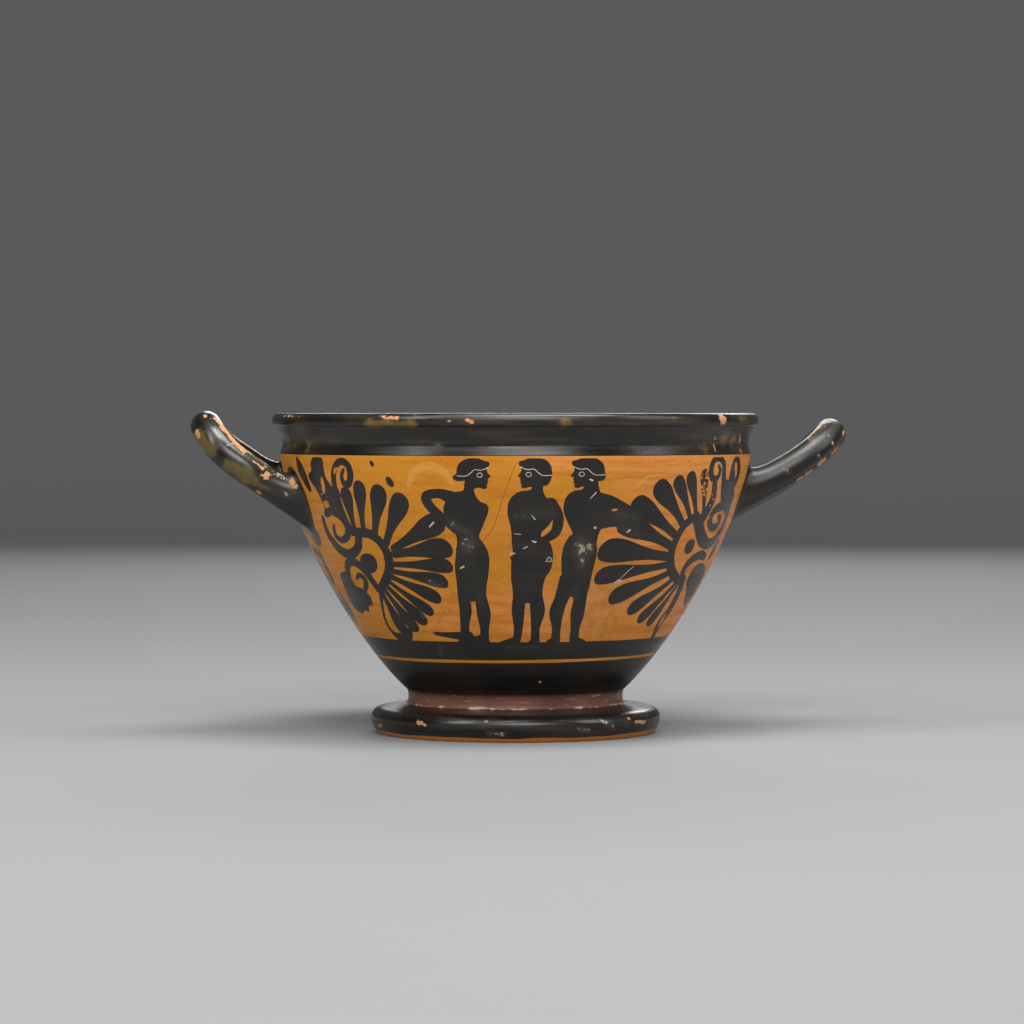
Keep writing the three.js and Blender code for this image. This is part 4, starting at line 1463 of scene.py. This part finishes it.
def clay_finish(name="reserved_clay", pale=0.0):
    """Fired clay left unglazed: gold to salmon, brushed sideways, rough where it was mended."""
    made, tree, shader, where = material(name, 0.5, 0.25)
    streaks = noise(tree, stretched(tree, where, (34, 34, 330)), 1.0, 4.0)
    zones = noise(tree, stretched(tree, where, (16, 16, 34)), 1.0, 3.0)
    patches = noise(tree, where, 42.0, 4.0)
    grain = noise(tree, where, 700.0, 3.0)
    rubble = noise(tree, where, 210.0, 5.0, 0.65)
    # Towards +X the clay shifts from gold to the lighter salmon: partly a real change of firing, partly
    # painted light on that side.
    rightwards = add(tree, "ShaderNodeSeparateXYZ", {0: where}).outputs[0]
    zones = sums(tree, "ADD", zones, sums(tree, "MULTIPLY", rightwards, 2.0))
    colour = mix(tree, steps(tree, zones, 0.40, 0.64), CLAY_GOLD, CLAY_SALMON)
    colour = mix(tree, steps(tree, streaks, 0.46, 0.66, 0.0, 0.62), colour, CLAY_ORANGE)
    colour = mix(tree, steps(tree, patches, 0.58, 0.85, 0.0, 0.4), colour, CLAY_BROWN)
    colour = mix(tree, steps(tree, grain, 0.54, 0.75, 0.0, 0.3), colour, CLAY_BROWN)
    mended = ragged_at(tree, attribute(tree, "mended", "Fac"), rubble, 1.5, 0.32, 0.62)
    pink = mix(tree, steps(tree, rubble, 0.40, 0.60), CLAY_PINK, CLAY_ORANGE)
    colour = mix(tree, sums(tree, "MULTIPLY", mended, 0.5), colour, pink)
    if pale:
        colour = mix(tree, pale, colour, GHOST_CLAY)
    roughness = steps(tree, streaks, 0.2, 0.8, 0.38, 0.55)
    rough_places = sums(tree, "MULTIPLY", sums(tree, "MULTIPLY", mended, rubble), 2.4)
    height = sums(tree, "ADD", grain, rough_places)
    finish_with(tree, shader, colour, roughness, height, 0.25)
    return made


def glaze_finish(name, brush, thin, thinness, sheen, chips=(), bump=0.35):
    """One part's glaze. On the handles the brush marks run along the roll, elsewhere round."""
    made, tree, shader, where = material(name, sheen, 0.5)
    brushed = attribute(tree, "along_arm") if "arm" in name else where
    inputs = {
        "Where": where,
        "Brushed": stretched(tree, brushed, brush),
        "Wear": attribute(tree, "wear"),
        "Thin Colour": (*thin, 1),
        "Thinness": thinness,
        "Sheen": sheen,
    }
    if chips:
        inputs["Chips"] = chips_of(tree, where, chips)
    coat = placed(tree, GLAZE_COAT, inputs)
    colour, roughness = coat["Colour"], coat["Roughness"]
    if name == "foot_glaze":
        height = add(tree, "ShaderNodeSeparateXYZ", {0: where}).outputs[2]
        waver = noise(tree, where, 26.0, 2.0)
        top = steps(tree, waver, 0.3, 0.7, (STRIPE_TOP - 0.4) * MM, (STRIPE_TOP + 0.4) * MM)
        stripe = sums(tree, "LESS_THAN", height, top)
        colour = mix(tree, stripe, colour, CLAY_ORANGE)
    finish_with(tree, shader, colour, roughness, coat["Height"], bump)
    return made


def fillet_finish():
    """Red-brown wash on the fillet above the foot, darker upwards, scratched to cream."""
    made, tree, shader, where = material("red_fillet", 0.42, 0.4)
    patches = noise(tree, where, 60.0, 4.0)
    scratches = noise(tree, stretched(tree, where, (90, 90, 520)), 1.0, 4.0, 0.7)
    height = add(tree, "ShaderNodeSeparateXYZ", {0: where}).outputs[2]
    colour = mix(tree, steps(tree, patches, 0.38, 0.66), (0.20, 0.072, 0.042), (0.12, 0.05, 0.032))
    upper = steps(tree, height, 16.5 * MM, FILLET_TOP * MM)
    colour = mix(tree, sums(tree, "MULTIPLY", upper, 0.6), colour, (0.05, 0.022, 0.016))
    colour = mix(tree, steps(tree, scratches, 0.57, 0.66, 0.0, 0.75), colour, (0.42, 0.27, 0.20))
    joint = ragged_at(tree, steps(tree, height, 14.6 * MM, 13.9 * MM), scratches, 2.4, 1.06, 1.18)
    colour = mix(tree, joint, colour, (0.55, 0.42, 0.30))
    finish_with(tree, shader, colour, None, scratches, 0.5)
    return made


def plain_finish(name, dark, light, scale, roughness):
    """Two tones of one colour in small patches, with a fine grain."""
    made, tree, shader, where = material(name, roughness, 0.3)
    patches = noise(tree, where, scale, 4.0)
    colour = mix(tree, steps(tree, patches, 0.35, 0.65), dark, light)
    finish_with(tree, shader, colour, None, noise(tree, where, 600.0, 3.0), 0.3)
    return made


AROUND = (20, 20, 260)
ALONG_ARM = (330, 330, 14)
finishes = [
    clay_finish(),
    glaze_finish("black_glaze", AROUND, (0.03, 0.022, 0.014), 0.5, 0.27, WALL_CHIPS),
    plain_finish("scratched_line", (0.50, 0.40, 0.27), (0.72, 0.62, 0.46), 260.0, 0.6),
    clay_finish("pale_ghost", 0.3),
    plain_finish("hairline_crack", (0.06, 0.03, 0.015), (0.14, 0.07, 0.03), 300.0, 0.8),
    fillet_finish(),
    glaze_finish("lip_glaze", AROUND, (0.07, 0.052, 0.026), 0.6, 0.24, LIP_CHIPS),
    glaze_finish("foot_glaze", AROUND, (0.05, 0.04, 0.032), 0.5, 0.2, FOOT_CHIPS),
    glaze_finish("left_arm_glaze", ALONG_ARM, (0.03, 0.026, 0.018), 0.5, 0.2),
    # The right arm's grey streaks along the roll are thin brushed glaze and partly a painted streaky sheen.
    glaze_finish("right_arm_glaze", ALONG_ARM, (0.06, 0.055, 0.046), 0.8, 0.3, bump=0.5),
]
pot = make_mesh("pot_body", *pot_mesh(), finishes)
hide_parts("skyphos")
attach(pot, "root")


# Floor, light and camera


COVE_RADIUS = 2.6
COVE_CURVE = 1.4
COVE_TOP = 5.0
COVE_SIDES = 96


def backdrop():
    """A pale cove: a floor disc, a quarter circle and a wall, one profile turned all round."""
    turn = np.linspace(0, math.pi / 2, 17)
    radius = np.concatenate([[0.001, 1.0, 2.0], COVE_RADIUS + COVE_CURVE * np.sin(turn)])
    height = np.concatenate([[0, 0, 0], COVE_CURVE * (1 - np.cos(turn))])
    radius = np.append(radius, COVE_RADIUS + COVE_CURVE)
    height = np.append(height, COVE_TOP)
    around = np.arange(COVE_SIDES) * TAU / COVE_SIDES
    places = turned(radius[:, None], around[None, :], height[:, None])
    number = np.arange(places.size // 3).reshape(len(radius), COVE_SIDES)
    faces = sewn(number, 1)
    mesh = bpy.data.meshes.new("backdrop")
    mesh.from_pydata(places.reshape(-1, 3).tolist(), [], faces.tolist())
    mesh.polygons.foreach_set("use_smooth", np.ones(len(mesh.polygons), bool))
    made, tree, shader, where = material("pale_grey_paper", 0.9, 0.2)
    shade = mix(tree, noise(tree, where, 3.0), (0.25, 0.25, 0.253), (0.262, 0.262, 0.265))
    tree.links.new(shade, shader.inputs["Base Color"])
    mesh.materials.append(made)
    piece = bpy.data.objects.new("backdrop", mesh)
    bpy.context.scene.collection.objects.link(piece)


def aim(piece, target):
    direction = Vector(target) - piece.location
    piece.rotation_euler = direction.to_track_quat("-Z", "Y").to_euler()


def area_light(name, place, target, width, tall, power, tint=(1, 1, 1)):
    data = bpy.data.lights.new(name, "AREA")
    data.shape = "RECTANGLE"
    data.size = width
    data.size_y = tall
    data.energy = power
    data.color = tint
    light = bpy.data.objects.new(name, data)
    light.location = place
    bpy.context.scene.collection.objects.link(light)
    aim(light, target)


VIEW_TURN = math.radians(-7.5)
VIEW_DISTANCE = 1.789
VIEW_HEIGHT = 0.144
VIEW_PITCH = math.radians(1.43)
VIEW_YAW = math.radians(0.049)
FOCAL_PIXELS = 3960
FRAME_PIXELS = 1024
SENSOR_WIDTH = 36


def camera():
    """The photograph's view: level with the lip, a little to the left of the front's middle."""
    data = bpy.data.cameras.new("camera")
    data.lens = FOCAL_PIXELS / FRAME_PIXELS * SENSOR_WIDTH
    data.sensor_width = SENSOR_WIDTH
    data.clip_end = 50
    view = bpy.data.objects.new("camera", data)
    view.location = (
        AXIS_X * MM + VIEW_DISTANCE * math.sin(VIEW_TURN),
        -VIEW_DISTANCE * math.cos(VIEW_TURN),
        VIEW_HEIGHT,
    )
    view.rotation_euler = (math.pi / 2 - VIEW_PITCH, 0, VIEW_TURN + VIEW_YAW)
    bpy.context.scene.collection.objects.link(view)
    bpy.context.scene.camera = view


def studio():
    world = bpy.data.worlds.new("studio")
    world.use_nodes = True
    world.node_tree.nodes["Background"].inputs["Color"].default_value = (0.8, 0.82, 0.85, 1)
    world.node_tree.nodes["Background"].inputs["Strength"].default_value = 0.08
    bpy.context.scene.world = world
    bpy.context.scene.view_settings.view_transform = "Standard"
    centre = (0, 0, 0.09)
    area_light("overhead", (0.15, -0.45, 2.1), centre, 1.5, 0.8, 54)
    area_light("front", (-0.1, -2.3, 1.7), centre, 1.6, 1.0, 46)
    area_light("left", (-1.5, -0.9, 1.5), centre, 0.14, 1.2, 17)
    area_light("right", (1.6, -0.7, 1.3), centre, 0.7, 1.2, 11)
    area_light("rim", (0.45, 2.1, 1.0), centre, 1.2, 0.35, 12)


backdrop()
studio()
camera()
